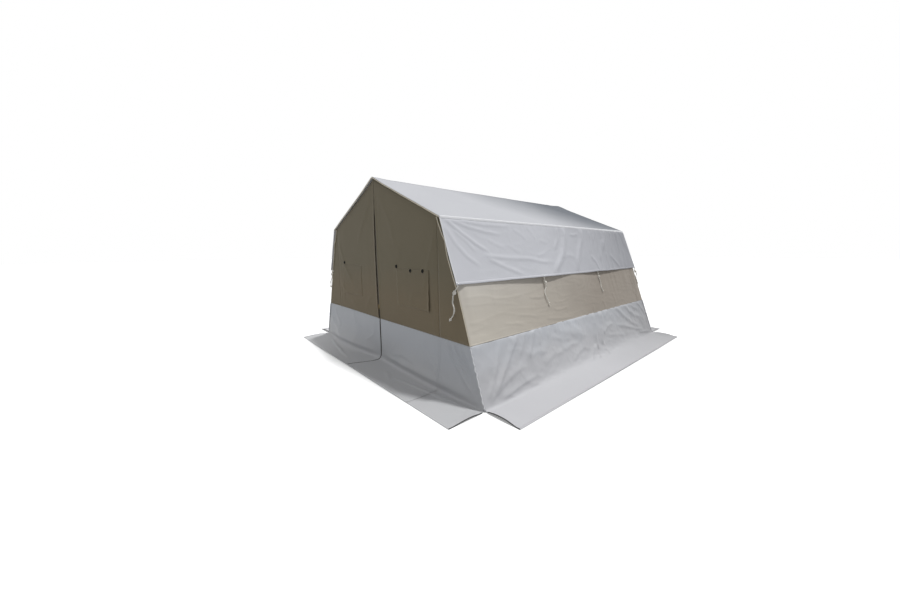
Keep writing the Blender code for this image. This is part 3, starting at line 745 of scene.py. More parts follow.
skirtSettings = {
    "step": 0.014, "thick": 0.0010, "hem": 0.024, "hemLift": 0.0018, "hemThick": 0.0030, "endHem": 0.012,
    "endHemLift": 0.0022, "endHemThick": 0.0040, "eyeletInset": 0.016, "pucker": (0.0034, 0.045, 0.3),
    "creases": (0.0015, 0.26, 0.12, 0.32), "broad": (0.0045, 0.5, 0.35), "gather": (0.0012, 0.13, 0.7, 0.4),
    "drop": 0.0060, "edge": (0.003, 0.12, 0.2), "warp": (0.06, 0.5, 0.4),
}
eaveSettings = {
    "bend": 0.022, "lift": 0.0032, "crown": 0.0085, "up": 0.012, "down": 0.024, "thick": 0.0016,
    "wave": (0.0012, 0.07, 0.05),
}
eyeletProfile = (
    (0.0055, -0.003), (0.0055, 0.0008), (0.0075, 0.0022), (0.0100, 0.0012), (0.0108, 0.0), (0.0090, -0.003),
)

# The folds of a skirt, by distance along the tent and down the skirt: drawn from the front eave
# corner, creased over the front half, and dropping in soft folds over the rear half.
skirtFolds = (
    (75, 22, 1.6, (-199, 1), (-180, 17), (-162, 30), (-146, 39)),
    (55, 20, 1.5, (-196, 2), (-170, 10), (-145, 15), (-122, 17)),
    (55, 24, 1.4, (-200, 8), (-191, 28), (-180, 42), (-164, 54)),
    (40, 18, 1.5, (-192, 2), (-160, 6), (-130, 7), (-100, 6)),
    (40, 20, 1.4, (-190, 14), (-176, 26), (-166, 38)),
    (62, 30, 1.7, (-162, 41), (-125, 45), (-85, 47), (-60, 51), (-32, 52)),
    (60, 30, 1.7, (-155, 44), (-128, 56), (-100, 66)),
    (26, 24, 1.5, (-146, 24), (-132, 30), (-120, 34)),
    (18, 24, 1.4, (-116, 30), (-104, 36), (-94, 38)),
    (34, 26, 1.5, (-100, 10), (-88, 16), (-80, 24)),
    (26, 24, 1.5, (-74, 6), (-66, 13), (-62, 24)),
    (30, 24, 1.5, (-70, 44), (-52, 40), (-34, 33)),
    (24, 26, 1.5, (-56, 22), (-44, 26), (-34, 24)),
    (200, 50, 1.3, (9, 0), (3, 18), (-8, 36), (-22, 50), (-44, 68)),
    (90, 26, 1.3, (-8, 2), (-14, 20), (-30, 36)),
    (180, 50, 1.3, (55, 0), (46, 20), (32, 36), (21, 50), (12, 70)),
    (55, 24, 1.5, (42, 10), (30, 13), (20, 11)),
    (40, 40, 1.4, (-16, 46), (2, 43), (18, 46)),
    (100, 34, 1.3, (60, 44), (70, 55), (74, 70)),
    (150, 28, 1.3, (128, 0), (118, 18), (104, 38)),
    (110, 36, 1.3, (112, 18), (98, 36), (84, 54)),
    (100, 34, 1.3, (78, 4), (72, 24), (62, 44)),
    (60, 22, 1.3, (94, 2), (90, 12), (82, 22)),
    (110, 24, 1.3, (148, 0), (143, 20), (132, 40)),
    (150, 24, 1.3, (168, 0), (166, 16), (160, 44)),
    (110, 20, 1.3, (182, 0), (188, 12), (190, 34)),
    (90, 20, 1.3, (196, 0), (193, 20), (196, 46)),
    (90, 30, 1.3, (122, 44), (136, 56), (148, 68)),
    (90, 26, 1.3, (178, 34), (174, 52), (166, 70)),
    (80, 26, 1.3, (112, 40), (106, 56), (98, 70)),
)
# How far the wall stays behind the skirt's hem along the tent, in metres.
hemGap = ((-2.03, 0.005), (-1.20, 0.022), (-0.70, 0.036), (-0.46, 0.029), (-0.04, 0.003), (0.06, 0.004),
          (0.48, 0.019), (0.74, 0.028), (1.05, 0.020), (1.50, 0.008), (2.03, 0.007))


def skirtRelief(side):
    rows = skirtSettings
    seed = 11 if side > 0 else 23
    drawn = foldMap(skirtFolds)

    def relief(y, down):
        warp = swell(rows["warp"], y, down, seed + 9) if side < 0 else 0.0
        folds = drawn(y + warp, down + warp * 0.4)
        pucker = gathered(rows["pucker"], y, down, seed) * bump(down, 0.03, 0.04)
        creases = creased(rows["creases"], y, down, seed + 1) * ease(y, 0.9, 0.1) * ease(y, -1.95, -1.5)
        broad = swell(rows["broad"], y, down, seed + 2)
        drop = (y + 0.12 * down) / 0.15
        gather = rows["drop"] * crease(drop, down / 1.6, seed + 3, 0.5) * ease(y, 0.2, 1.2)
        gather += creased(rows["gather"], y - 0.2 * down, down, seed + 4) * ease(y, 0.2, 1.0)
        tied = sum(bump(y, home, 0.16) for home in tieHomes)
        hemSwing = (0.006 * tied - 0.003 * (1 - min(1.0, tied))) * ease(down, 0.45, skirtRun)
        edge = swell(rows["edge"], y, down, seed + 6) * ease(y + flyReach, 0.2, 0.0)
        return ease(down, 0.0, 0.05) * (folds + creases + broad + gather + hemSwing + edge + 0.002) + pucker
    return relief


def hemWave(y, seed):
    return 0.004 * ripple(y / 0.6, 0.5, seed) + 0.0015 * ripple(y / 0.14, 0.5, seed + 1)


skirtReliefs = {side: skirtRelief(side) for where, side in sides}


def addSkirt(where, side):
    step, inset = skirtSettings["step"], skirtSettings["eyeletInset"]
    body, name, relief, seed = f"skirt_{where}", f"fly_skirt_{where}", skirtReliefs[side], 31 + side

    def hung(y, down):
        fallen = down + hemWave(y, seed) * ease(down, 0.3, skirtRun)
        return atSide(side, skirtHinge + skirtDown * fallen, y)

    def laySkirt(label, ys, downs, finish, lift, thick):
        cloth = layCloth(f"{name}_{label}", ys, downs, hung, [finish], relief, lift, thick, side > 0)
        return dress(cloth, body)

    ys = spread(-flyReach, flyReach, step)
    skirt = laySkirt("cloth", ys, spread(0.0, skirtRun, step), flyCloth, 0.0, skirtSettings["thick"])
    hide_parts(name)
    hem, lift = spread(skirtRun - skirtSettings["hem"], skirtRun + 0.001, 0.008), skirtSettings["hemLift"]
    trims = [laySkirt("hem", ys, hem, flyCloth, lift, skirtSettings["hemThick"])]
    lift, thick = skirtSettings["endHemLift"], skirtSettings["endHemThick"]
    for end, low in (("front", -flyReach), ("rear", flyReach - skirtSettings["endHem"])):
        strip = spread(low - 0.002, low + skirtSettings["endHem"], 0.005)
        trims.append(laySkirt(f"{end}_hem", strip, spread(0.0, skirtRun, step), weltCloth, lift, thick))
    out = atSide(side, skirtOut, 0)
    for index, y in enumerate(tieHomes):
        at, down = min(max(y, inset - flyReach), flyReach - inset), skirtRun - inset
        spot = hung(at, down) + out * (relief(at, down) + 0.002)
        trims.append(turned(f"{name}_eyelet_{index + 1}", eyeletProfile, spot, out, pressedAluminium))
        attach(trims[-1], body)


def addEaveSeam(where, side):
    # the eave seam's allowance, a bright strip turned down over the edge
    settings, relief, seed = eaveSettings, skirtReliefs[side], 31 + side

    def place(y, reach):
        rise, run = turnOut(reach, roofUp, skirtDown, settings["bend"])
        return atSide(side, skirtHinge + rise + run, y)

    def seamRelief(y, reach):
        soft = swell(settings["wave"], y, reach, seed + 5) + relief(y, max(0.0, reach))
        return settings["lift"] + settings["crown"] * bump(reach, 0, settings["bend"] * 0.8) + soft

    ys, reaches = spread(-flyReach, flyReach, 0.015), spread(-settings["up"], settings["down"], 0.004)
    seam = layCloth(
        f"eave_seam_{where}", ys, reaches, place, [weltCloth], seamRelief, 0.0, settings["thick"], side > 0,
    )
    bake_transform(seam)


addFly()
for where, side in sides:
    addSkirt(where, side)
    addEaveSeam(where, side)
print("fly and skirts hung")


# Canvas body: one cloth up one wall, over the roof and down the other wall.
canvasSettings = {
    "step": 0.020, "thick": 0.0012, "lift": -0.0002, "seamsAt": (("a", 1.80), ("b", 1.84)),
    "soft": (0.004, 0.9, 0.5), "level": (0.0022, 0.45, 0.07, 0.24), "fine": (0.0012, 0.3, 0.05),
    "pull": (0.0016, 0.12, 0.4, 0.35),
}


def bodyPlace(along, y):
    # along is the distance from the ridge, minus to the left; past the eave it runs down the wall
    reach = abs(along)
    if reach <= roofRun:
        spot = Vector((0, 0, ridgeZ)) - roofUp * reach
        spot.x = reach * eaveX / roofRun
    else:
        spot = Vector((eaveX, 0, eaveZ)) - wallUp * (reach - roofRun)
    return atSide(1 if along >= 0 else -1, spot, y)


# Wrinkles of a wall, by distance along the tent and height.
wallFolds = (
    (60, 16, 1.8, (18, 91), (28, 97), (38, 106)),
    (55, 14, 1.8, (28, 90), (37, 97), (46, 105)),
    (45, 14, 1.6, (40, 92), (50, 100), (60, 105)),
    (40, 16, 1.6, (5, 95), (14, 98), (22, 104)),
    (40, 18, 1.8, (-60, 72), (-45, 70), (-28, 72)),
    (35, 16, 1.8, (-55, 80), (-38, 79), (-20, 82)),
    (35, 18, 1.8, (-150, 68), (-132, 66), (-115, 62)),
    (35, 18, 1.8, (-125, 74), (-105, 71), (-90, 67)),
    (40, 18, 1.8, (-100, 90), (-80, 88), (-62, 90)),
    (35, 18, 1.8, (-160, 95), (-135, 93), (-110, 95)),
    (45, 24, 2.0, (-80, 64), (-50, 60), (-22, 58)),
    (50, 20, 1.4, (34, 66), (31, 61), (30, 56)),
    (45, 22, 1.4, (62, 70), (66, 63), (64, 56)),
    (40, 20, 1.4, (98, 78), (102, 68), (100, 58)),
    (45, 20, 1.4, (174, 102), (178, 85), (176, 66)),
    (45, 18, 1.4, (190, 105), (189, 85), (193, 60)),
)
wallDrawn = foldMap(wallFolds, lower=-1)


def wallRelief(y, z, side):
    rows = canvasSettings
    seed = 51 if side > 0 else 61
    reach = abs(y)
    held = ease(z, bandZ, bandZ + 0.10) * ease(reach, 2.0, 1.92)
    edge = ease(reach, 2.0, 1.96)
    level = creased(rows["level"], y, z, seed + 1) + swell(rows["fine"], y, z, seed + 2)
    soft = swell(rows["soft"], y, z, seed)
    drawn = wallDrawn(y if side > 0 else y * 0.93 + 0.05, z) * edge
    pull = creased(rows["pull"], y + z, z, seed + 3) * bump(z, bandZ, 0.08) * edge
    height = held * (soft + level) + drawn + pull
    # the wall swells out to the skirt's hem where the gap there is small, and stays behind the skirt
    down = (skirtHinge.z - z) / -skirtDown.z
    skirt = skirtReliefs[side]
    standOff = skirtRun * math.sin(flare) + skirt(y, skirtRun) - 0.0015
    hemZ = skirtHinge.z + skirtDown.z * skirtRun
    belly = (standOff - levelAt(hemGap, y)) * ease(z, bandZ + 0.03, hemZ - 0.02)
    if down < skirtRun:
        belly *= max(0.0, down / skirtRun) ** 1.3
    height += belly * ease(reach, 2.002, 1.90)
    if down < skirtRun + 0.03:
        height = min(height, down * math.sin(flare) + skirt(y, min(down, skirtRun)) - 0.0045)
    return height


def bodyRelief(along, y):
    reach = abs(along)
    if reach <= roofRun:
        share = 1 - reach / roofRun
        return -flySettings["baySag"] * 1.25 * baySag(y, share) - 0.0035 * ease(share, 0, 0.15) - 0.001
    z = eaveZ - (reach - roofRun) * wallUp.z
    return wallRelief(y, z, 1 if along > 0 else -1) * ease(reach, roofRun, roofRun + 0.08)


def layOnBody(name, alongs, ys, lift, thick):
    cloth = layCloth(name, alongs, ys, bodyPlace, [sideCanvas], bodyRelief, lift, thick)
    return dress(cloth, "tent", "beige_canvas")


def addCanvasBody():
    edge = roofRun + (eaveZ - bandZ) / wallUp.z
    wall = joinSpreads((roofRun, roofRun + 0.55, 0.04), (roofRun + 0.55, edge, 0.012))
    alongs = [-a for a in wall[::-1]] + spread(-roofRun, roofRun, 0.06)[1:-1] + wall
    ys = spread(-halfLength, halfLength, canvasSettings["step"])
    cloth = layOnBody("canvas_body_cloth", alongs, ys, canvasSettings["lift"], canvasSettings["thick"])
    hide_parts("canvas_shell")
    for where, side in sides:
        hem = spread(*sorted((side * (edge - 0.014), side * edge)), 0.01)
        ys = spread(-halfLength, halfLength, 0.03)
        layOnBody(f"wall_{where}_lower_hem", hem, ys, 0.0009, 0.0012)
        down = spread(*sorted((side * (roofRun + 0.02), side * (edge - 0.002))), 0.022)
        for label, y in canvasSettings["seamsAt"]:
            seam = spread(y, y + 0.010, 0.005)
            layOnBody(f"wall_{where}_felled_seam_{label}", down, seam, 0.0012, 0.0010)


addCanvasBody()
addTies()
print("canvas body and ties made")


# Gables.
def gablePlace(y, low, eave, outer, top, inner=0.0, side=1):
    # share runs from the inner edge to the slanted outer one; level is 0 below, 1 at the eave, 2 at the rake
    def place(share, level):
        z = low + (eave - low) * min(level, 1.0)
        x = inner + (outer(z) - inner) * share
        if level > 1:
            z = eave + (top(x) - eave) * (level - 1)
        return Vector((side * x, y, z))
    return place


rearSettings = {
    "soft": (0.006, 0.8, 0.6), "creases": (0.004, 0.3, 0.9, 0.3), "fan": (28, 45, 60), "fanHeight": 0.005,
    "sink": 0.004, "inset": 0.002,
}


def addRearGable():
    rows, inset = rearSettings, rearSettings["inset"]

    def relief(share, level):
        edge = ease(abs(share), 1.0, 0.86) * ease(level, 0.0, 0.1) * ease(level, 2.0, 1.8)
        x, aside = share * 1.6, 1 - abs(share)
        soft = swell(rows["soft"], x, level, 71) + creased(rows["creases"], x, level, 72)
        fan = sum(rows["fanHeight"] * fold(aside, 1 - level, angle, 0.9, 0.035) for angle in rows["fan"])
        return edge * (soft + fan) - rows["sink"] * edge

    place = gablePlace(halfLength, bandZ, eaveZ, lambda z: wallX(z) - inset, lambda x: roofZ(x) - inset)
    levels = spread(0, 1, 0.025)[:-1] + spread(1, 2, 0.05)
    cloth = layCloth("rear_gable_cloth", spread(-1, 1, 0.018), levels, place, [gableCanvas], relief)
    dress(cloth, "tent", "beige_canvas", ["rear_gable"])
    area = (wallX(bandZ) + eaveX) * (eaveZ - bandZ) + eaveX * (ridgeZ - eaveZ)
    2 * wallX(bandZ)


addRearGable()

# The window and the door leaf round it, in metres.
windowIn, windowOut = (corner.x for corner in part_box("window_net_right"))
windowFoot, windowHead = (corner.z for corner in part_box("window_net_right"))
rakeFrom = 1.36  # rows above this height are shares of the way up to the rake
doorSettings = {
    "step": 0.024, "topDrop": 0.010, "rakeStep": 0.04, "blendX": 0.25, "creases": (0.0016, 0.28, 0.9, 0.3),
    "lip": 0.007, "frame": 0.02, "frameLift": 0.0013,
    "coverLap": 0.03, "coverStep": 0.015, "coverLift": 0.0028, "coverCreases": (0.0015, 0.2, 0.15, 0.35),
    "zipColumns": [0.0, 0.006, 0.012, 0.02, 0.03],
}
toggleProfile = (
    (0.0, -0.003), (0.0, 0.0030), (0.0090, 0.0028), (0.0100, 0.0056), (0.0170, 0.0062), (0.0200, 0.0025),
    (0.0200, -0.003),
)
toggleSpots = {1: ((0.505, 1.257), (0.815, 1.217), (1.062, 1.223)), -1: ((1.08, 1.265),)}


def offWindow(x, row):
    return not (windowIn < x < windowOut and windowFoot < row < windowHead)


def rowHeight(x, row, drop):
    return row if row <= rakeFrom else rakeFrom + (roofZ(x) - drop - rakeFrom) * (row - rakeFrom)


def rakeRows(low, step, rakeStep):
    # rows up to the rake, with lines along the window's edges
    rows = joinSpreads((low, windowFoot, step), (windowFoot, windowHead, step), (windowHead, rakeFrom, step))
    return rows + [rakeFrom + k for k in spread(0, 1, rakeStep)[1:]]


def zipX(z):
    # the zip's way down the gable: nearly straight, with a kink at the slider
    top = -0.004 - 0.006 * bump(z, 1.45, 0.5)
    kink = 0.014 * ease(z, 0.735, 0.665)
    return top + kink + 0.002 * ripple(z / 0.25, 0.4, 77) * ease(z, 0.56, 0.8)


def zipDrift(spot):
    # how far the seam strays to the left: a little where it rounds the foot, then more along the flap
    foot = 0.006 * bump(spot.z, 0.20, 0.12) - 0.022 * ease(spot.z, 0.075, 0.0)
    return foot - 0.125 * ease(front - spot.y, 0.03, 0.45)


def zipReveal(z):
    # how far each leaf's edge stands back from the zip's middle
    canvas = 0.003 + 0.010 * ease(z, 2.02, 1.72) + 0.003 * ease(z, 1.3, 1.0)
    canvas += 0.004 * bump(z, 2.06, 0.02) + 0.003 * bump(z, 0.66, 0.08)
    coated = 0.0065 + 0.0055 * ease(z, 0.02, 0.14)
    return canvas + (coated - canvas) * ease(z, 0.60, 0.54)


# Soft folds of the gable's leaves, by distance from the middle and height.
leafFolds = {
    1: (
        (50, 35, 1.4, (130, 162), (115, 130), (105, 95)),
        (40, 30, 1.4, (20, 62), (45, 70), (70, 68)),
        (40, 40, 1.4, (10, 212), (35, 180), (50, 145)),
        (35, 30, 1.4, (125, 60), (128, 80), (124, 100)),
    ),
    -1: (
        (60, 40, 1.4, (130, 160), (110, 125), (80, 95)),
        (55, 35, 1.5, (128, 98), (102, 80), (70, 66)),
        (45, 35, 1.4, (120, 62), (116, 85), (122, 110)),
        (40, 40, 1.4, (12, 210), (40, 178), (60, 150)),
        (45, 30, 1.4, (10, 90), (28, 78), (42, 60)),
    ),
}


def leafRelief(side):
    rows = doorSettings
    seed = 81 if side > 0 else 91
    drawn = foldMap(leafFolds[side], lower=-1)

    def relief(x, z):
        reach = abs(x)
        held = ease(reach, doorSeam, doorSeam - 0.08) * ease(roofZ(x) - z, 0.0, 0.12)
        held *= ease(z, bandZ, bandZ + 0.05)
        soft = 0.0045 * (0.6 + ripple(x / 0.6, z / 0.9, seed)) + creased(rows["creases"], x, z, seed + 1)
        lip = rows["lip"] * ease(reach, 0.06, 0.016) * ease(z, 2.15, 1.9)
        return max(0.0, held * (soft + drawn(reach, z))) + lip * (1.0 if side < 0 else 0.6)
    return relief


def leafPlace(side):
    def place(x, row):
        z = rowHeight(x, row, doorSettings["topDrop"])
        fade = max(0.0, 1 - x / doorSettings["blendX"]) ** 2
        return Vector((side * x + (zipX(z) + side * zipReveal(z)) * fade, front, z))
    return place


def addLeaf(where, side):
    step, width = doorSettings["step"], doorSettings["frame"]
    body, place, relief = f"door_{where}", leafPlace(side), leafRelief(side)

    def onLeaf(x, row):
        return relief(x * side, place(x, row).z)

    # columns from the zip to the seam, with lines along the window's edges
    xs = doorSettings["zipColumns"] + joinSpreads(
        (0.05, windowIn, step), (windowIn, windowOut, step), (windowOut, doorSeam - 0.001, step),
    )
    rows = rakeRows(bandZ, step, doorSettings["rakeStep"])
    leaf = layCloth(
        f"door_leaf_{where}_cloth", xs, rows, place, [gableCanvas], onLeaf, flip=side < 0, keep=offWindow,
    )
    dress(leaf, body, "beige_canvas", [f"door_leaf_{where}"])
    across, upward = (windowIn - width, windowOut + width, 0.03), (windowFoot, windowHead, 0.03)
    strips = (
        ("sill", across, (windowFoot - width, windowFoot, 0.01)),
        ("head", across, (windowHead, windowHead + width, 0.01)),
        ("inner", (windowIn - width, windowIn, 0.01), upward),
        ("outer", (windowOut, windowOut + width, 0.01), upward),
    )
    for label, xSpan, zSpan in strips:
        strip = layCloth(
            f"window_frame_{label}_{where}", spread(*xSpan), spread(*zSpan), place, [gableCanvas], onLeaf,
            doorSettings["frameLift"], flip=side < 0,
        )
        dress(strip, body)
    area = doorSeam * (roofZ(0) + roofZ(doorSeam) - 2 * bandZ) / 2
    area -= (windowOut - windowIn) * (windowHead - windowFoot)
    addCover(where, side, place, relief)
    for index, (x, z) in enumerate(toggleSpots[side]):
        spot = place(x, z) + Vector((0, -relief(x * side, z) - 0.003, 0))
        toggle = turned(f"door_eyelet_{where}_{index + 1}", toggleProfile, spot, (0, -1, 0), blackNylon)
        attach(toggle, body)


def addCover(where, side, leafSpot, leafHeight):
    # the cover over the window, stitched at its head; the right one is crinkled along its outer edge
    lap, step = doorSettings["coverLap"], doorSettings["coverStep"]
    crinkled = 1 if side > 0 else 0

    def relief(x, z):
        lower = ease(z, windowHead + lap, windowHead + lap - 0.12)
        outer = ease(x, windowOut - 0.02, windowOut + lap)
        rim = 0.010 * abs(ripple(z / 0.05, 0.2, 95 + side)) + 0.004
        rim += 0.009 * bump(z, windowFoot + 0.03, 0.06)
        foot = 0.003 * ease(z, windowFoot + 0.02, windowFoot - lap) * ease(x, windowIn + 0.1, windowOut)
        edge = max(
            ease(x, windowIn - 0.02, windowIn - lap), ease(z, windowHead + 0.02, windowHead + lap),
            ease(z, windowFoot - 0.02, windowFoot - lap),
        )
        loose = creased(doorSettings["coverCreases"], x, z, 97 + side) * (1 - edge)
        return leafHeight(x * side, z) - 0.0029 * edge + lower * ((rim * outer + foot) * crinkled + loose)

    def place(x, z):
        wave = 0.007 * ripple(z / 0.06, 0.4, 99) + 0.005 * bump(z, 0.86, 0.03)
        aside = side * wave * ease(x, windowOut, windowOut + lap) * crinkled
        return leafSpot(x, z) + Vector((aside, 0, 0))

    xs, zs = spread(windowIn - lap, windowOut + lap, step), spread(windowFoot - lap, windowHead + lap, step)
    cover = layCloth(
        f"window_cover_{where}_cloth", xs, zs, place, [gableCanvas], relief, doorSettings["coverLift"],
        flip=side < 0,
    )
    dress(cover, f"cover_{where}", "beige_canvas", [f"window_cover_{where}"])


panelSettings = {"wave": 0.004, "sideInset": 0.0005, "topInset": 0.0016}


def addFrontPanel(where, side):
    def relief(share, level):
        held = ease(share, 0, 0.15) * ease(share, 1, 0.8) * ease(level, 0, 0.1) * ease(level, 1.0, 0.8)
        return held * (panelSettings["wave"] * ripple(share * 1.3, level * 3, 101 + side))

    place = gablePlace(
        front, bandZ, eaveZ, lambda z: wallX(z) - panelSettings["sideInset"],
        lambda x: roofZ(x) - panelSettings["topInset"], doorSeam, side,
    )
    shares, levels = spread(0, 1, 0.06), spread(0, 1, 0.03)[:-1] + [1.0, 1.5, 2.0]
    panel = layCloth(
        f"front_panel_{where}_cloth", shares, levels, place, [gableCanvas], relief, flip=side < 0,
    )
    dress(panel, "tent", "beige_canvas", [f"front_panel_{where}"])
    wide, narrow, height = wallX(bandZ) - doorSeam, eaveX - doorSeam, eaveZ - bandZ


for where, side in sides:
    addLeaf(where, side)
for where, side in sides:
    addFrontPanel(where, side)
print("gables made")


# Sod wall and mud flaps: on each side one cloth runs down the wall and out over the ground.
sodSettings = {
    "step": 0.014, "turnStep": 0.012, "thick": 0.0012, "hem": 0.02, "hemLift": 0.0012, "hemThick": 0.0020,
    "groundLift": 0.0022, "doorLift": 0.0036, "curl": 0.012, "edge": 0.0048, "fold": 0.37, "slack": 2.4,
    "endLift": 0.014, "tapeHalf": 0.012, "tapeLift": 0.0009, "tapeThick": 0.0006,
}


def sodRows(wall, turn):
    # reaches down the wall, finer through the turn at the ground, and out to the flap's edge
    step, fine = sodSettings["step"], sodSettings["turnStep"]
    return joinSpreads((-wall, -turn, step), (-turn, turn, fine), (turn, flapReach, step))


def groundWave(a, b, seed, most):
    # low blisters and edges that lift off the ground, never below it
    blister = most * (0.5 + 0.5 * ripple(a / 0.55, b / 0.5, seed))
    return blister + 0.5 * most * max(0.0, ripple(a / 0.16, b / 0.25, seed + 1))


def cornerLift(reach):
    # how much of a flap's end is lifted, by its reach
    return sodSettings["endLift"] * ease(reach, 0.02, 0.16) * ease(reach, 0.42, 0.2)


def laySod(name, face, alongs, rows, place, relief, flip, nodes):
    cloth = layCloth(name, alongs, rows, place, [face, flapBack], relief, 0.0, sodSettings["thick"], flip)
    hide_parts(*nodes)
    return cloth


def layHem(name, face, alongs, place, relief, flip, body):
    rows = spread(flapReach - sodSettings["hem"], flapReach, 0.01)
    lift, thick = sodSettings["hemLift"], sodSettings["hemThick"]
    hem = layCloth(name, alongs, rows, place, [face], relief, lift, thick, flip)
    return dress(hem, body, "grey_sod_cloth")


def shadowEdge(name, along, place, relief, aside):
    # a near-black cord of the flaps' back laminate along a flap's end, painted shadow under the lifted end;
    # made into a mesh
    size = sodSettings["edge"]
    points = []
    for reach in spread(0.03, flapReach - 0.004, 0.02):
        raised = place(along, reach) + aside + up * max(size, relief(along, reach))
        points.append(raised - up * size * 0.55)
    drawn = drawCord(name, points, size, flapBack)
    bpy.context.view_layer.update()
    mesh = bpy.data.meshes.new_from_object(drawn)
    bpy.data.objects.remove(drawn)
    edge = linkObject(name, mesh, [])
    return edge


# Folds of a side's sod wall, by distance along the tent and height.
sideFolds = (
    (110, 32, 1.6, (-193, 8), (-176, 30), (-162, 54)),
    (170, 40, 1.8, (-184, 10), (-160, 32), (-142, 49), (-133, 60)),
    (100, 40, 1.6, (-194, 5), (-172, 15), (-152, 22), (-130, 25)),
    (80, 30, 1.6, (-176, 4), (-145, 9), (-115, 11)),
    (150, 32, 1.8, (-126, 30), (-114, 46), (-107, 60)),
    (110, 26, 1.7, (-138, 34), (-129, 47), (-122, 60)),
    (90, 26, 1.6, (-104, 38), (-98, 49), (-94, 60)),
    (80, 26, 1.6, (-86, 42), (-80, 51), (-77, 60)),
    (70, 24, 1.6, (-70, 46), (-66, 53), (-62, 60)),
    (60, 24, 1.6, (-154, 40), (-147, 50), (-141, 60)),
    (60, 36, 1.5, (-130, 30), (-110, 33), (-92, 30)),
    (70, 40, 1.5, (-106, 18), (-85, 24), (-62, 22)),
    (60, 34, 1.5, (-80, 42), (-60, 36), (-40, 34)),
    (60, 24, 1.5, (-38, 46), (-34, 53), (-31, 60)),
    (150, 80, 1.4, (-70, 46), (-35, 40), (-5, 34)),
    (70, 40, 1.5, (-54, 7), (-36, 16), (-20, 18), (-4, 13)),
    (60, 36, 1.5, (-66, 24), (-45, 27), (-26, 25)),
    (250, 50, 1.8, (24, 12), (34, 33), (42, 46), (46, 60)),
    (260, 44, 2.2, (10, 8), (15, 28), (22, 44), (26, 60)),
    (100, 34, 1.6, (36, 26), (54, 34), (72, 36)),
    (130, 26, 1.8, (52, 45), (62, 53), (70, 60)),
    (200, 36, 1.8, (0, -6), (3, 6), (6, 18)),
    (180, 34, 1.8, (27, -6), (26, 5), (30, 16)),
    (80, 30, 1.5, (-18, -4), (-10, 5), (0, 13)),
    (80, 36, 1.5, (44, 22), (72, 18), (98, 14)),
    (110, 44, 1.6, (118, 60), (135, 45), (152, 36), (178, 30)),
    (120, 44, 1.6, (90, 58), (115, 38), (140, 24), (166, 16)),
    (100, 36, 1.7, (80, 31), (110, 24), (145, 15), (174, 11)),
    (90, 30, 1.7, (146, 10), (175, 6), (197, 3)),
    (80, 30, 1.6, (140, 58), (156, 48), (174, 43)),
    (80, 28, 1.6, (170, 58), (184, 46), (196, 30)),
)
sideDrawn = foldMap(sideFolds, lower=-1)
sideSettings = {
    "pucker": (0.0065, 0.06, 0.5), "net": (0.0032, 0.20, 0.15, 0.30), "fine": (0.0017, 0.09, 0.08, 0.34),
    "broad": (0.010, 0.45, 0.4), "low": (0.006, 0.13, 0.12), "warp": (0.07, 0.5, 0.3),
}


def sideBend(y):
    return 0.030 + 0.095 * ease(y, -1.9, -0.3) * ease(y, 2.0, 1.0) + 0.015 * ripple(y / 0.5, 0.1, 150)


def addSideSod(where, side):
    rows, seed, wall = sideSettings, 111 if side > 0 else 131, bandZ / wallUp.z

    def place(y, reach):
        # reach runs from minus the wall's share to plus the flap's
        bend = sideBend(y)
        rise, run = turnOut(reach, wallUp, Vector((1, 0, 0)), bend)
        spot = Vector((footX, 0, 0)) + rise + run
        spot.x -= bend * bend / sodSettings["slack"] * ease(reach, -0.25, -0.6)
        spot.z += sodSettings["groundLift"] * ease(reach, -0.3, 0.05)
        return atSide(side, spot, y)

    def relief(y, reach):
        down, end = reach + wall, abs(y)
        height = bandZ - down * wallUp.z
        warp = swell(rows["warp"], y, height, seed + 9) if side < 0 else 0.0
        held = ease(down, 0.0, 0.03) * ease(end, 2.0, 1.94)
        pucker = gathered(rows["pucker"], y, down, seed + 1) * bump(down, 0.030, 0.045)
        net = creased(rows["net"], y, down, seed + 2) + creased(rows["fine"], y, down, seed + 4)
        broad = swell(rows["broad"], y, down, seed + 3) + swell(rows["low"], y, down, seed + 6)
        high = held * (sideDrawn(y + warp, height) + net + broad + 0.004) + pucker * ease(end, 2.0, 1.94)
        flat = groundWave(y, reach, seed + 5, 0.0035) * ease(reach, -0.02, 0.12)
        lifted = 0.012 * ease(reach, 0.02, 0.16) * ease(reach, 0.42, 0.2) * ease(end, 1.86, 2.0)
        curl = ease(end, 1.955, 2.0) * ease(reach, 0.0, 0.06) * ease(reach, 0.40, 0.24)
        return max(0.0, high) * ease(reach, 0.16, -0.04) + flat + lifted + sodSettings["curl"] * curl

    ys = spread(-halfLength, halfLength, sodSettings["step"])
    flap, flip = f"mud_flap_{where}", side > 0
    nodes = ["sod_wall", flap]
    cloth = laySod(f"sod_side_{where}_cloth", sodCloth, ys, sodRows(wall, 0.1), place, relief, flip, nodes)
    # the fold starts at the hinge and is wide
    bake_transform(cloth)
    for end, y, out in (("front", front, -1), ("rear", halfLength, 1)):
        edge = shadowEdge(f"{flap}_{end}_painted_shadow_edge", y, place, relief, Vector((0, -out * 0.002, 0)))
        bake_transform(edge)
    hem = layHem(f"{flap}_hem", sodCloth, ys, place, relief, flip, f"flap_{where}")


def rearPlace(share, reach):
    bend = 0.05 + 0.02 * ripple(share * 3, 0.1, 160)
    rise, run = turnOut(reach, up, Vector((0, 1, 0)), bend)
    width = min(wallX(rise.z) if reach < 0 else footX, footX)
    spot = Vector((share * width, halfLength, 0)) + rise + run
    spot.y -= bend * bend / sodSettings["slack"] * ease(reach, -0.25, -0.56)
    spot.z += sodSettings["groundLift"] * ease(reach, -0.3, 0.05)
    return spot


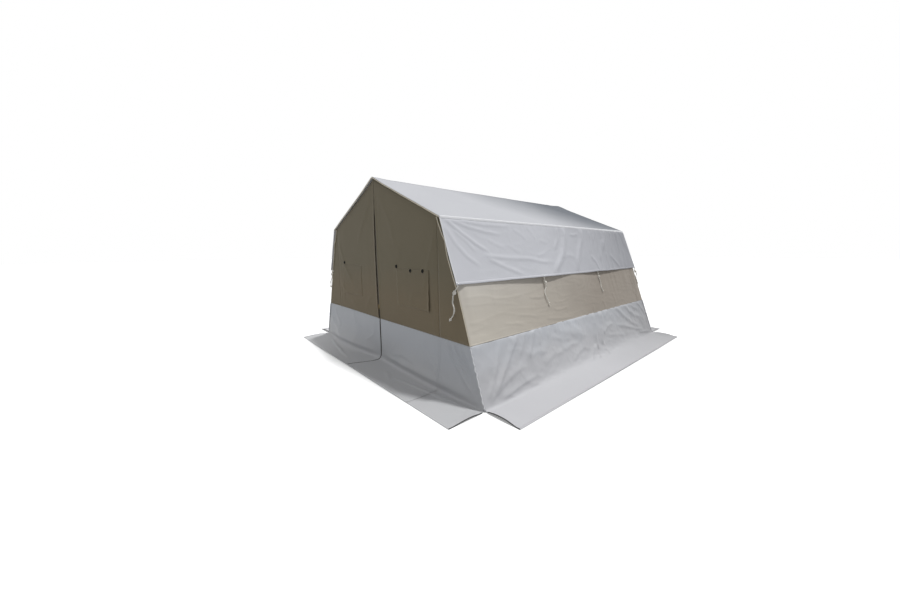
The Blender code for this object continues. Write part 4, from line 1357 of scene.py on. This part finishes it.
def rearRelief(share, reach):
    down, x = reach + bandZ, share * footX
    held = ease(down, 0.0, 0.05) * ease(abs(share), 1.0, 0.95)
    pleats = 0.009 * crease((x + 0.2 * down) / 0.26, down / 1.0, 171, 0.4) * ease(down, 0.55, 0.1)
    net = creased((0.005, 0.24, 0.18, 0.26), x, down, 172)
    corner = sum(0.008 * fold(2.0 - abs(x), -reach, angle, 0.8, 0.03) for angle in (25, 45, 62))
    broad = swell((0.007, 0.5, 0.4), x, down, 173) + 0.003
    flat = groundWave(x, reach, 175, 0.0035) * ease(reach, -0.02, 0.12)
    wall = held * (pleats + net + corner + broad) * ease(reach, 0.10, -0.12)
    return wall + flat + cornerLift(reach) * ease(abs(share), 0.94, 1.0)


def addRearSod():
    shares = spread(-1, 1, 0.0095)
    cloth = laySod(
        "sod_rear_cloth", sodCloth, shares, sodRows(bandZ, 0.1), rearPlace, rearRelief, False,
        ["sod_wall", "mud_flap_rear"],
    )
    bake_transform(cloth)
    hem = layHem("mud_flap_rear_hem", sodCloth, shares, rearPlace, rearRelief, False, "flap_rear")


# How wide the front cloth turns from the wall to the ground, from the left corner to the right one.
frontTurns = ((-2.0, 0.02), (-1.75, 0.05), (-1.30, 0.10), (-0.90, 0.120), (-0.50, 0.085), (-0.14, 0.036),
              (0.14, 0.036), (0.55, 0.060), (1.00, 0.065), (1.50, 0.040), (1.95, 0.018))
# How far the front cloth bellies out above the ground, along the same line.
frontBellies = ((-2.0, 0.0), (-1.70, 0.005), (-1.20, 0.018), (-0.60, 0.024), (-0.15, 0.004), (0.15, 0.004),
                (0.60, 0.020), (1.20, 0.020), (1.70, 0.010), (2.0, 0.0))
# How far the front cloth's foot is pushed out from the wall, along the same line.
frontLean = (
    (-2.0, 0.0), (-1.70, 0.020), (-1.20, 0.070), (-0.70, 0.060), (-0.20, 0.004), (0.20, 0.0), (0.70, 0.020),
    (1.20, 0.025), (1.70, 0.010), (2.0, 0.0),
)


def frontBend(x):
    return sum(levelAt(frontTurns, x + step) for step in (-0.12, 0.0, 0.12)) / 3


def frontPlace(lift):
    def place(x, reach):
        bend = frontBend(x)
        rise, run = turnOut(reach, up, Vector((0, -1, 0)), bend)
        spot = Vector((x, front, 0)) + rise + run
        spot.y += bend * bend / sodSettings["slack"] * ease(reach, -0.2, -0.56)
        spot.y -= levelAt(frontLean, x) * ease(reach, -0.44, -0.04) * ease(reach, flapReach, 0.05)
        spot.z += lift * ease(reach, -0.3, 0.05)
        return spot
    return place


# Folds of the front's lower cloth, by distance from the middle and height, and of its flaps by reach.
frontFolds = foldMap((
    (200, 40, 1.6, (192, 10), (168, 36), (147, 58)),
    (190, 32, 1.8, (195, 12), (180, 36), (164, 58)),
    (160, 26, 1.8, (197, 12), (189, 34), (178, 56)),
    (60, 40, 1.6, (140, 10), (115, 30), (98, 50)),
    (50, 40, 1.6, (30, 15), (60, 20), (95, 16)),
    (70, 45, 1.6, (-195, 30), (-160, 24), (-120, 12)),
    (60, 35, 1.6, (-172, 52), (-155, 36), (-130, 26)),
    (50, 30, 1.6, (-85, 56), (-80, 40), (-66, 28)),
    (45, 30, 1.6, (-40, 20), (-20, 30), (-12, 45)),
), lower=-1)
flapFolds = foldMap((
    (80, 30, 1.6, (-145, 6), (-105, 13), (-62, 24), (-25, 30)),
    (60, 22, 1.4, (-95, 20), (-82, 17), (-70, 22)),
    (70, 26, 1.6, (45, 16), (60, 20), (74, 27)),
    (70, 28, 1.6, (70, 19), (110, 14), (150, 9), (190, 5)),
))


def frontRelief(x, reach):
    down = reach + bandZ
    height = bandZ - down
    held = ease(down, 0.0, 0.04) * ease(abs(x), 1.99, 1.92)
    soft = 0.005 * (0.7 + ripple(x / 0.55, down / 0.5, 191))
    net = creased((0.0016, 0.3, 0.3, 0.26), x, down, 192)
    belly = levelAt(frontBellies, x) * bump(height, 0.085, 0.060)
    onWall = max(0.0, held * (soft + net + belly + frontFolds(x, height))) * ease(reach, 0.06, -0.10)
    flat = groundWave(x, reach, 195, 0.004) * ease(reach, -0.02, 0.12)
    return onWall + flat + flapFolds(x, reach) * ease(reach, 0.0, 0.05)


frontLow = frontPlace(sodSettings["groundLift"] - 0.001)
frontHigh = frontPlace(sodSettings["doorLift"])
frontRows = sodRows(bandZ, 0.16)


def addCornerSod(where, side):
    # between the door's seam and the corner, which slants with the wall
    def place(share, reach):
        x = doorSeam + (wallX(frontPlace(0)(0, reach).z) - doorSeam) * share
        return frontLow(side * x, reach)

    def relief(share, reach):
        x = doorSeam + (footX - doorSeam) * share
        return frontRelief(side * x, reach) + cornerLift(reach) * ease(share, 0.82, 1.0)

    cloth = laySod(
        f"sod_front_{where}_cloth", sodFrontCloth, spread(0, 1, 0.03), frontRows, place, relief, side > 0,
        ["sod_wall"],
    )
    edge = shadowEdge(f"sod_front_{where}_painted_shadow_edge", 1, place, relief, Vector((-side * 0.002, 0, 0)))
    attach(edge, "tent")
    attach(cloth, "tent")
    wide = footX - doorSeam
    area = wide * flapReach + (wide + wallX(bandZ) - doorSeam) / 2 * bandZ


def addDoorSod(where, side):
    body, flip = f"door_{where}", side > 0

    def place(x, reach):
        spot = frontHigh(side * x, reach)
        fade = max(0.0, 1 - x / doorSettings["blendX"]) ** 2
        spot.x += (zipX(max(0.0, spot.z)) + side * zipReveal(spot.z)) * fade
        spot.x += zipDrift(spot) * max(0.0, 1 - x / 0.7)
        return spot

    def relief(x, reach):
        # the wall's cloth lies flat beside the zip, so that the slider runs in front of it
        flat = ease(x, 0.20, 0.012) * ease(-reach, 0.02, 0.05)
        lip = 0.004 * ease(x, 0.05, 0.012) * (1.0 if side < 0 else 0.4) * ease(reach + bandZ, 0.0, 0.05)
        return frontRelief(side * x, reach) * (1 - flat) + lip

    xs = doorSettings["zipColumns"] + spread(0.05, doorSeam - 0.0015, 0.024)
    name = f"door_sod_{where}"
    cloth = laySod(f"{name}_cloth", sodFrontCloth, xs, frontRows, place, relief, flip, [name])
    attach(cloth, body)
    hem = layHem(f"{name}_hem", sodFrontCloth, xs, place, relief, flip, body)

    # a tape over the seam between the door and the corner
    half = sodSettings["tapeHalf"]
    tape = layCloth(
        f"door_seam_tape_{where}", spread(-half, half, half / 3),
        [row for row in frontRows if row < flapReach - 0.01],
        lambda across, reach: frontHigh(side * (doorSeam + across), reach), [sodFrontCloth],
        lambda across, reach: frontRelief(side * (doorSeam + across), reach),
        sodSettings["tapeLift"], sodSettings["tapeThick"], flip,
    )
    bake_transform(tape)


for where, side in sides:
    addSideSod(where, side)
addRearSod()
for where, side in sides:
    addCornerSod(where, side)
    addDoorSod(where, side)
print("sod wall and flaps laid")


# Corner seams: a puckered allowance of coated cloth below, white lacing over it, and canvas piping above.
cornerSettings = {
    "low": 0.012, "pitch": 0.017, "seam": 0.0085, "lacing": 0.0046, "piping": 0.0040, "loose": 0.0062,
    "flatness": 0.35,
}
# How far the loose edge beside a skirt stands in from the corner, by height.
looseEdge = ((1.08, 0.000), (1.20, 0.014), (1.35, 0.024), (1.45, 0.022), (1.53, 0.010), (1.60, 0.036),
             (1.70, 0.052), (1.77, 0.058))


def addCornerSeams(where, side, end, out):
    def corner(z, aside, beyond):
        return Vector((side * (wallX(z) + aside), out * (halfLength + beyond), z))

    seam, lacing, loose = [], [], []
    for z in spread(cornerSettings["low"], bandZ + 0.004, 0.007):
        pucker = 0.0075 * ripple(z / 0.020, 0.3, 201 + side + out)
        pucker += 0.003 * ripple(z / 0.09, 0.3, 204 + side)
        seam.append(corner(z, 0.003 + pucker, 0.003 + 0.5 * abs(pucker)))
    for k, z in enumerate(spread(0.03, bandZ - 0.02, cornerSettings["pitch"])):
        # in and out every other pair of steps
        aside = 0.013 * (1 if k % 4 in (1, 2) else -1) * (0.6 + ripple(k / 3, 0.2, 205))
        lacing.append(corner(z, 0.007 + 0.3 * aside, 0.008 - 0.3 * aside))
    for z in spread(1.08, eaveZ - 0.004, 0.012):
        wave = 0.0030 * ripple(z / 0.11, 0.3, 211 + side + out) + 0.002 * ripple(z / 0.04, 0.3, 215 + side)
        loose.append(corner(z, wave - levelAt(looseEdge, z), 0.009))
    # below the skirt the piping is thin; beside it, a loose wavy edge stands off the corner
    lower = [corner(z, 0.0015, 0.003) for z in spread(bandZ, 1.10, 0.03)]
    flatness = cornerSettings["flatness"]
    for label, points, size, finish, slot, *shape in (
        ("seam", seam, "seam", sodCloth, "grey_sod_cloth", 0.6, 0.4),
        ("lacing", lacing, "lacing", weltCloth, "white_fly"),
        ("piping_lower", lower, "piping", pipingCanvas, "beige_canvas", flatness),
        ("piping_loose", loose, "loose", pipingCanvas, "beige_canvas", flatness),
    ):
        drawn = drawCord(f"corner_{label}_{end}_{where}", points, cornerSettings[size], finish, *shape)
        dress(drawn, "tent", slot)


rollSettings = {"size": 0.0072, "drop": 0.0004, "inset": 0.004, "thick": 0.0010, "step": 0.015}


def addRolledHem(end, out):
    # the fly's rolled hem at one of its ends
    size = rollSettings["size"]

    def place(across, turn):
        spot = roofPlace(across, out * (flyReach - rollSettings["inset"]))
        spot.z += flyRelief(across, out * flyReach) - rollSettings["drop"] - size * (1 - math.cos(turn))
        spot.y += out * size * 0.8 * math.sin(turn)
        return spot

    def relief(across, turn):
        return 0.0012 * ripple(across / 0.09, turn / 2, 225) + 0.0008 * ripple(across / 0.03, turn, 226)

    acrosses = spread(-roofRun, roofRun, rollSettings["step"])
    hem = layCloth(
        f"roof_fly_rolled_hem_{end}", acrosses, spread(0.0, math.pi, math.pi / 8), place, [pipingCanvas],
        relief, 0.0, rollSettings["thick"], out > 0,
    )
    dress(hem, "tent", "white_fly")


ends = (("front", -1), ("rear", 1))
for where, side in sides:
    for end, out in ends:
        addCornerSeams(where, side, end, out)
for end, out in ends:
    addRolledHem(end, out)


# Zip: two tapes, and a row of teeth down each leaf's edge.
zipSettings = {
    "tape": (0.0008, 0.020), "thick": 0.0008, "tooth": 0.0032, "half": 0.0012, "rounding": 0.0005,
    "pitch": 0.008, "top": 2.26, "step": 0.02, "flapStep": 0.015, "endInset": 0.012,
}


def zipWay():
    # down the gable, then out along the flap, as points on the front's plain surface
    heights = spread(zipSettings["top"], bandZ, zipSettings["step"])
    points = [Vector((zipX(z), front + 0.0012, z)) for z in heights]
    for reach in spread(-bandZ, flapReach - zipSettings["endInset"], zipSettings["flapStep"])[1:]:
        spot = frontHigh(0.0, reach)
        points.append(Vector((zipX(max(0.0, spot.z)) + zipDrift(spot), spot.y + 0.002, spot.z - 0.0012)))
    return points


def meshOf(name, points, faces, finish):
    mesh = bpy.data.meshes.new(name)
    mesh.from_pydata(points, [], faces)
    return linkObject(name, mesh, [finish])


def addTeeth(name, way, side):
    size, half = zipSettings["tooth"], zipSettings["half"]
    across = Vector((side, 0, 0))
    corners = [(a, b, c) for a in (-1, 1) for b in (-1, 1) for c in (-1, 1)]
    points, faces, walked = [], [], 0.0
    for start, end in zip(way, way[1:]):
        walked += (end - start).length
        if walked < zipSettings["pitch"]:
            continue
        walked = 0.0
        down = (end - start).normalized()
        out = down.cross(across)
        out = out.normalized() * (-1 if out.y > 0 or out.z < 0 else 1)
        centre = start + across * size * 0.75 + out * half
        base = len(points)
        for a, b, c in corners:
            deep = b * size * 0.5 * (1.0 if a < 0 else 0.7)  # narrower at its tip
            points.append(centre + across * a * size * 0.75 + down * deep + out * c * half)
        for ring in ((0, 1, 3, 2), (4, 6, 7, 5), (0, 4, 5, 1), (2, 3, 7, 6), (0, 2, 6, 4), (1, 5, 7, 3)):
            faces.append([base + k for k in ring])
    teeth = meshOf(name, points, faces, blackNylon)
    soft = teeth.modifiers.new("rounding", "BEVEL")
    soft.width = zipSettings["rounding"]
    soft.segments = 1
    return teeth


def addZip():
    way = zipWay()
    for where, side in sides:
        tape = layCloth(
            f"zip_tape_{where}", zipSettings["tape"], range(len(way)),
            lambda reach, k: way[k] + Vector((side * reach, 0, 0)), [zipTape], thick=zipSettings["thick"],
            flip=side < 0,
        )
        # its threads run across and down the front
        for loop, corner in zip(tape.data.uv_layers["cut"].data, tape.data.loops):
            spot = tape.data.vertices[corner.vertex_index].co
            loop.uv = (spot.x, spot.y + spot.z)
        for piece in (tape, addTeeth(f"zip_teeth_{where}", way, side)):
            dress(piece, f"door_{where}", "zip_metal")


addZip()
print("seams and zip made")


# Insect nets: knitted threads 1.5 mm apart, drawn 9 mm apart so that they show.
netSettings = {"pitch": 0.009, "thread": 0.0014, "wave": 0.0004, "stand": 0.0016}


def addNet(where):
    low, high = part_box(f"window_net_{where}")
    wide, tall = high.x - low.x, high.z - low.z
    columns, rows = round(wide / netSettings["pitch"]), round(tall / netSettings["pitch"])
    points, faces = [], []
    for i in range(columns + 1):
        for j in range(rows + 1):
            wave = netSettings["wave"] * math.sin(1.3 * i) * math.sin(1.1 * j)
            y = front + netSettings["stand"] + wave
            points.append(Vector((low.x + wide * i / columns, y, low.z + tall * j / rows)))
            if i < columns and j < rows:
                ring = ((i, j), (i + 1, j), (i + 1, j + 1), (i, j + 1))
                faces.append([a * (rows + 1) + b for a, b in ring])
    net = meshOf(f"window_net_{where}_threads", points, faces, netThread)
    net.data.uv_layers.new(name="cut")
    threads = net.modifiers.new("threads", "WIREFRAME")
    threads.thickness = netSettings["thread"]
    dress(net, f"door_{where}", "window_net", [f"window_net_{where}"])


for where, side in sides:
    addNet(where)


# Quilted inner room and door backs: fibre between two cloths, stitched in level rows.
def quiltPuff(along, level, seed):
    puffed = abs(math.sin(math.pi * ((level / quiltSettings["row"]) % 1.0))) ** 0.55
    pinch = 0.0012 * ripple(along / 0.05, level / 0.5, seed) * (1 - puffed)
    soft = 0.0012 * ripple(along / 0.22, level / 0.12, seed + 1) * puffed
    return quiltSettings["puff"] * (puffed - 1.0) + soft + pinch


def addLiner():
    low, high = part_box("inner_liner")
    thick, slack, step = quiltSettings["thick"], quiltSettings["slack"], quiltSettings["gableStep"]
    lean = (eaveX - footX) / eaveZ
    foot, ridge = Vector((high.x, 0, low.z)), Vector((0, 0, high.z))
    # the eave of the liner, where its own wall and roof lines cross
    cornerZ = (high.z - roofPitch * (high.x - lean * low.z)) / (1 + roofPitch * lean)
    eave = Vector((high.x + lean * (cornerZ - low.z), 0, cornerZ))
    wall, roof, tall = (eave - foot).length, (ridge - eave).length, eave.z - foot.z

    def place(along, y):
        reach = abs(along)
        if reach <= roof:
            spot = ridge + (eave - ridge) * (reach / roof)
        else:
            spot = eave + (foot - eave) * ((reach - roof) / wall)
        return atSide(1 if along >= 0 else -1, spot, y)

    def layRoom(name, alongs, levels, spotAt, relief, flip=False):
        layQuilt(name, alongs, levels, spotAt, relief, thick, "tent", "inner_liner", flip)

    def wallEdge(z):
        return foot.x + lean * (z - foot.z) - thick

    def rake(x):
        return ridge.z - thick - roofPitch * abs(x)

    def backRelief(share, level):
        height = min(level, 1.0) * tall + max(0.0, level - 1) * (ridge.z - eave.z)
        return quiltPuff(share * 1.9, height, 241) - slack

    rows = spread(0, wall + roof, quiltSettings["row"] / 6)
    ys = spread(low.y, high.y - 0.001, quiltSettings["step"])
    layRoom(
        "inner_room_quilt", [-a for a in rows[::-1]][:-1] + rows, ys, place,
        lambda along, y: quiltPuff(y, abs(along), 231) - slack,
    )
    levels = spread(0, 1, step) + [1 + k for k in spread(0, 1, 0.035)[1:]]
    back = gablePlace(high.y - slack, foot.z, eave.z, wallEdge, rake)
    layRoom("inner_room_back_quilt", spread(-1, 1, 0.024), levels, back, backRelief)
    for where, side in sides:
        layRoom(
            f"inner_room_front_quilt_{where}", spread(0, 1, 0.1), spread(0, 0.985, step),
            gablePlace(low.y + slack, foot.z, eave.z, wallEdge, rake, doorSeam, side),
            lambda share, level: quiltPuff(share * 0.5, level * tall, 251) - slack, side < 0,
        )


def addDoorQuilt(where, side):
    low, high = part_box(f"door_quilt_{where}")
    drop, y = roofZ(0.001) - high.z, high.y - quiltSettings["slack"]
    step, row, line = quiltSettings["step"], quiltSettings["row"] / 6, quiltSettings["windowLine"]
    outer = max(abs(low.x), abs(high.x))
    xs = spread(quiltSettings["zipGap"], windowIn - line, step) + spread(windowOut + line, outer, step)
    xs = sorted(set(xs + spread(windowIn, windowOut, step)))
    rows = rakeRows(low.z, row, 0.02)

    def place(x, level):
        return Vector((side * x, y, rowHeight(x, level, drop)))

    def relief(x, level):
        return quiltPuff(x, place(x, level).z, 261 + side)

    layQuilt(
        f"door_quilt_{where}_padding", xs, rows, place, relief, quiltSettings["doorThick"], f"door_{where}",
        f"door_quilt_{where}", side > 0, offWindow,
    )


addLiner()
for where, side in sides:
    addDoorQuilt(where, side)
print("quilts made")


groundSettings = {
    "step": 0.04, "lift": 0.0012, "thick": 0.0008, "wave": 0.0025, "creases": (0.003, 0.7, 0.6, 0.2),
}


def addGroundsheet():
    low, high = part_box("groundsheet")
    step, lift, thick = (groundSettings[key] for key in ("step", "lift", "thick"))

    def relief(x, y):
        blister = groundSettings["wave"] * (0.5 + 0.5 * ripple(x / 0.5, y / 0.5, 271))
        return blister + creased(groundSettings["creases"], x, y, 272)

    cloth = layCloth(
        "groundsheet_cloth", spread(low.x, high.x, step), spread(low.y, high.y, step),
        lambda x, y: Vector((x, y, lift)), [groundCloth], relief, 0.0, thick,
    )
    dress(cloth, "tent", "ground_cloth", ["groundsheet"])


addGroundsheet()


# The steel frame and the slider keep their CAD shapes and get their real finishes.
for name, node in frame["nodes"].items():
    if name == "zip_slider" or name.startswith(("leg_", "rafter_", "eave_", "ridge_")):
        node.data.materials.clear()
        node.data.materials.append(brassedZinc if name == "zip_slider" else galvanisedSteel)
print("frame finished")


# Ground, light and the end of the scene.
def anyRay(tree, *rays):
    # 1 where the ray is of any of these kinds
    path = addNode(tree, "ShaderNodeLightPath").outputs
    shown = path[rays[0]]
    for ray in rays[1:]:
        larger = addNode(tree, "ShaderNodeMath", {"operation": "MAXIMUM"}, {0: shown, 1: path[ray]})
        shown = larger.outputs[0]
    return shown


stageSettings = {"half": 60.0, "lit": "#bcbdbe", "seen": "#ffffff", "lift": 0.22}


def addStage(settings):
    # the eye sees the floor a little lifted, so that its lit part is as white as the backdrop
    half = settings["half"]
    finish, tree, shader = startFinish("painted_floor_white", {"Roughness": 0.9, "Specular IOR Level": 0.2})
    seen = anyRay(tree, "Is Camera Ray", "Is Glossy Ray")
    tree.links.new(mixColours(tree, seen, settings["lit"], settings["seen"]), shader.inputs["Base Color"])
    lift = addNode(tree, "ShaderNodeEmission", {"Color": (1, 1, 1, 1), "Strength": settings["lift"]})
    dark = addNode(tree, "ShaderNodeEmission", {"Color": (0, 0, 0, 1), "Strength": 0.0})
    chosen = addNode(tree, "ShaderNodeMixShader", links={0: seen, 1: dark.outputs[0], 2: lift.outputs[0]})
    both = addNode(tree, "ShaderNodeAddShader", links={0: shader.outputs[0], 1: chosen.outputs[0]})
    tree.links.new(both.outputs[0], tree.nodes["Material Output"].inputs["Surface"])
    corners = [(-half, -half, 0), (half, -half, 0), (half, half, 0), (-half, half, 0)]
    meshOf("ground", corners, [(0, 1, 2, 3)], finish)


lightSettings = {
    "sunStrength": 2.05,
    "sunFrom": (0.19, 0.21, 1.0),
    "sunSpread": 5,
    "fillStrength": 0.4,
    "fillFrom": (-0.25, -0.15, 0.95),
    "fillSpread": 45,
    "sky": "#f7f9fc",
    "skyStrength": 0.30,
}


def addLight(settings):
    for name in ("sun", "fill"):
        lamp = bpy.data.lights.new(f"{name}_softbox", "SUN")
        lamp.energy = settings[f"{name}Strength"]
        lamp.angle = math.radians(settings[f"{name}Spread"])
        made = linkObject(f"{name}_softbox", lamp, [])
        made.rotation_euler = Vector(settings[f"{name}From"]).to_track_quat("Z", "Y").to_euler()
    world = bpy.data.worlds.new("studio")
    world.use_nodes = True
    bpy.context.scene.world = world
    tree = world.node_tree
    sky = tree.nodes["Background"]
    sky.inputs["Color"].default_value = toLinear(settings["sky"])
    sky.inputs["Strength"].default_value = settings["skyStrength"]
    white = addNode(tree, "ShaderNodeBackground", {"Color": (1, 1, 1, 1), "Strength": 1.0})
    shown = anyRay(tree, "Is Camera Ray", "Is Glossy Ray", "Is Transmission Ray")
    mixed = addNode(tree, "ShaderNodeMixShader", links={0: shown, 1: sky.outputs[0], 2: white.outputs[0]})
    tree.links.new(mixed.outputs[0], tree.nodes["World Output"].inputs["Surface"])
    bpy.context.scene.view_settings.view_transform = "Standard"


addStage(stageSettings)
addLight(lightSettings)
print("stage and light set")
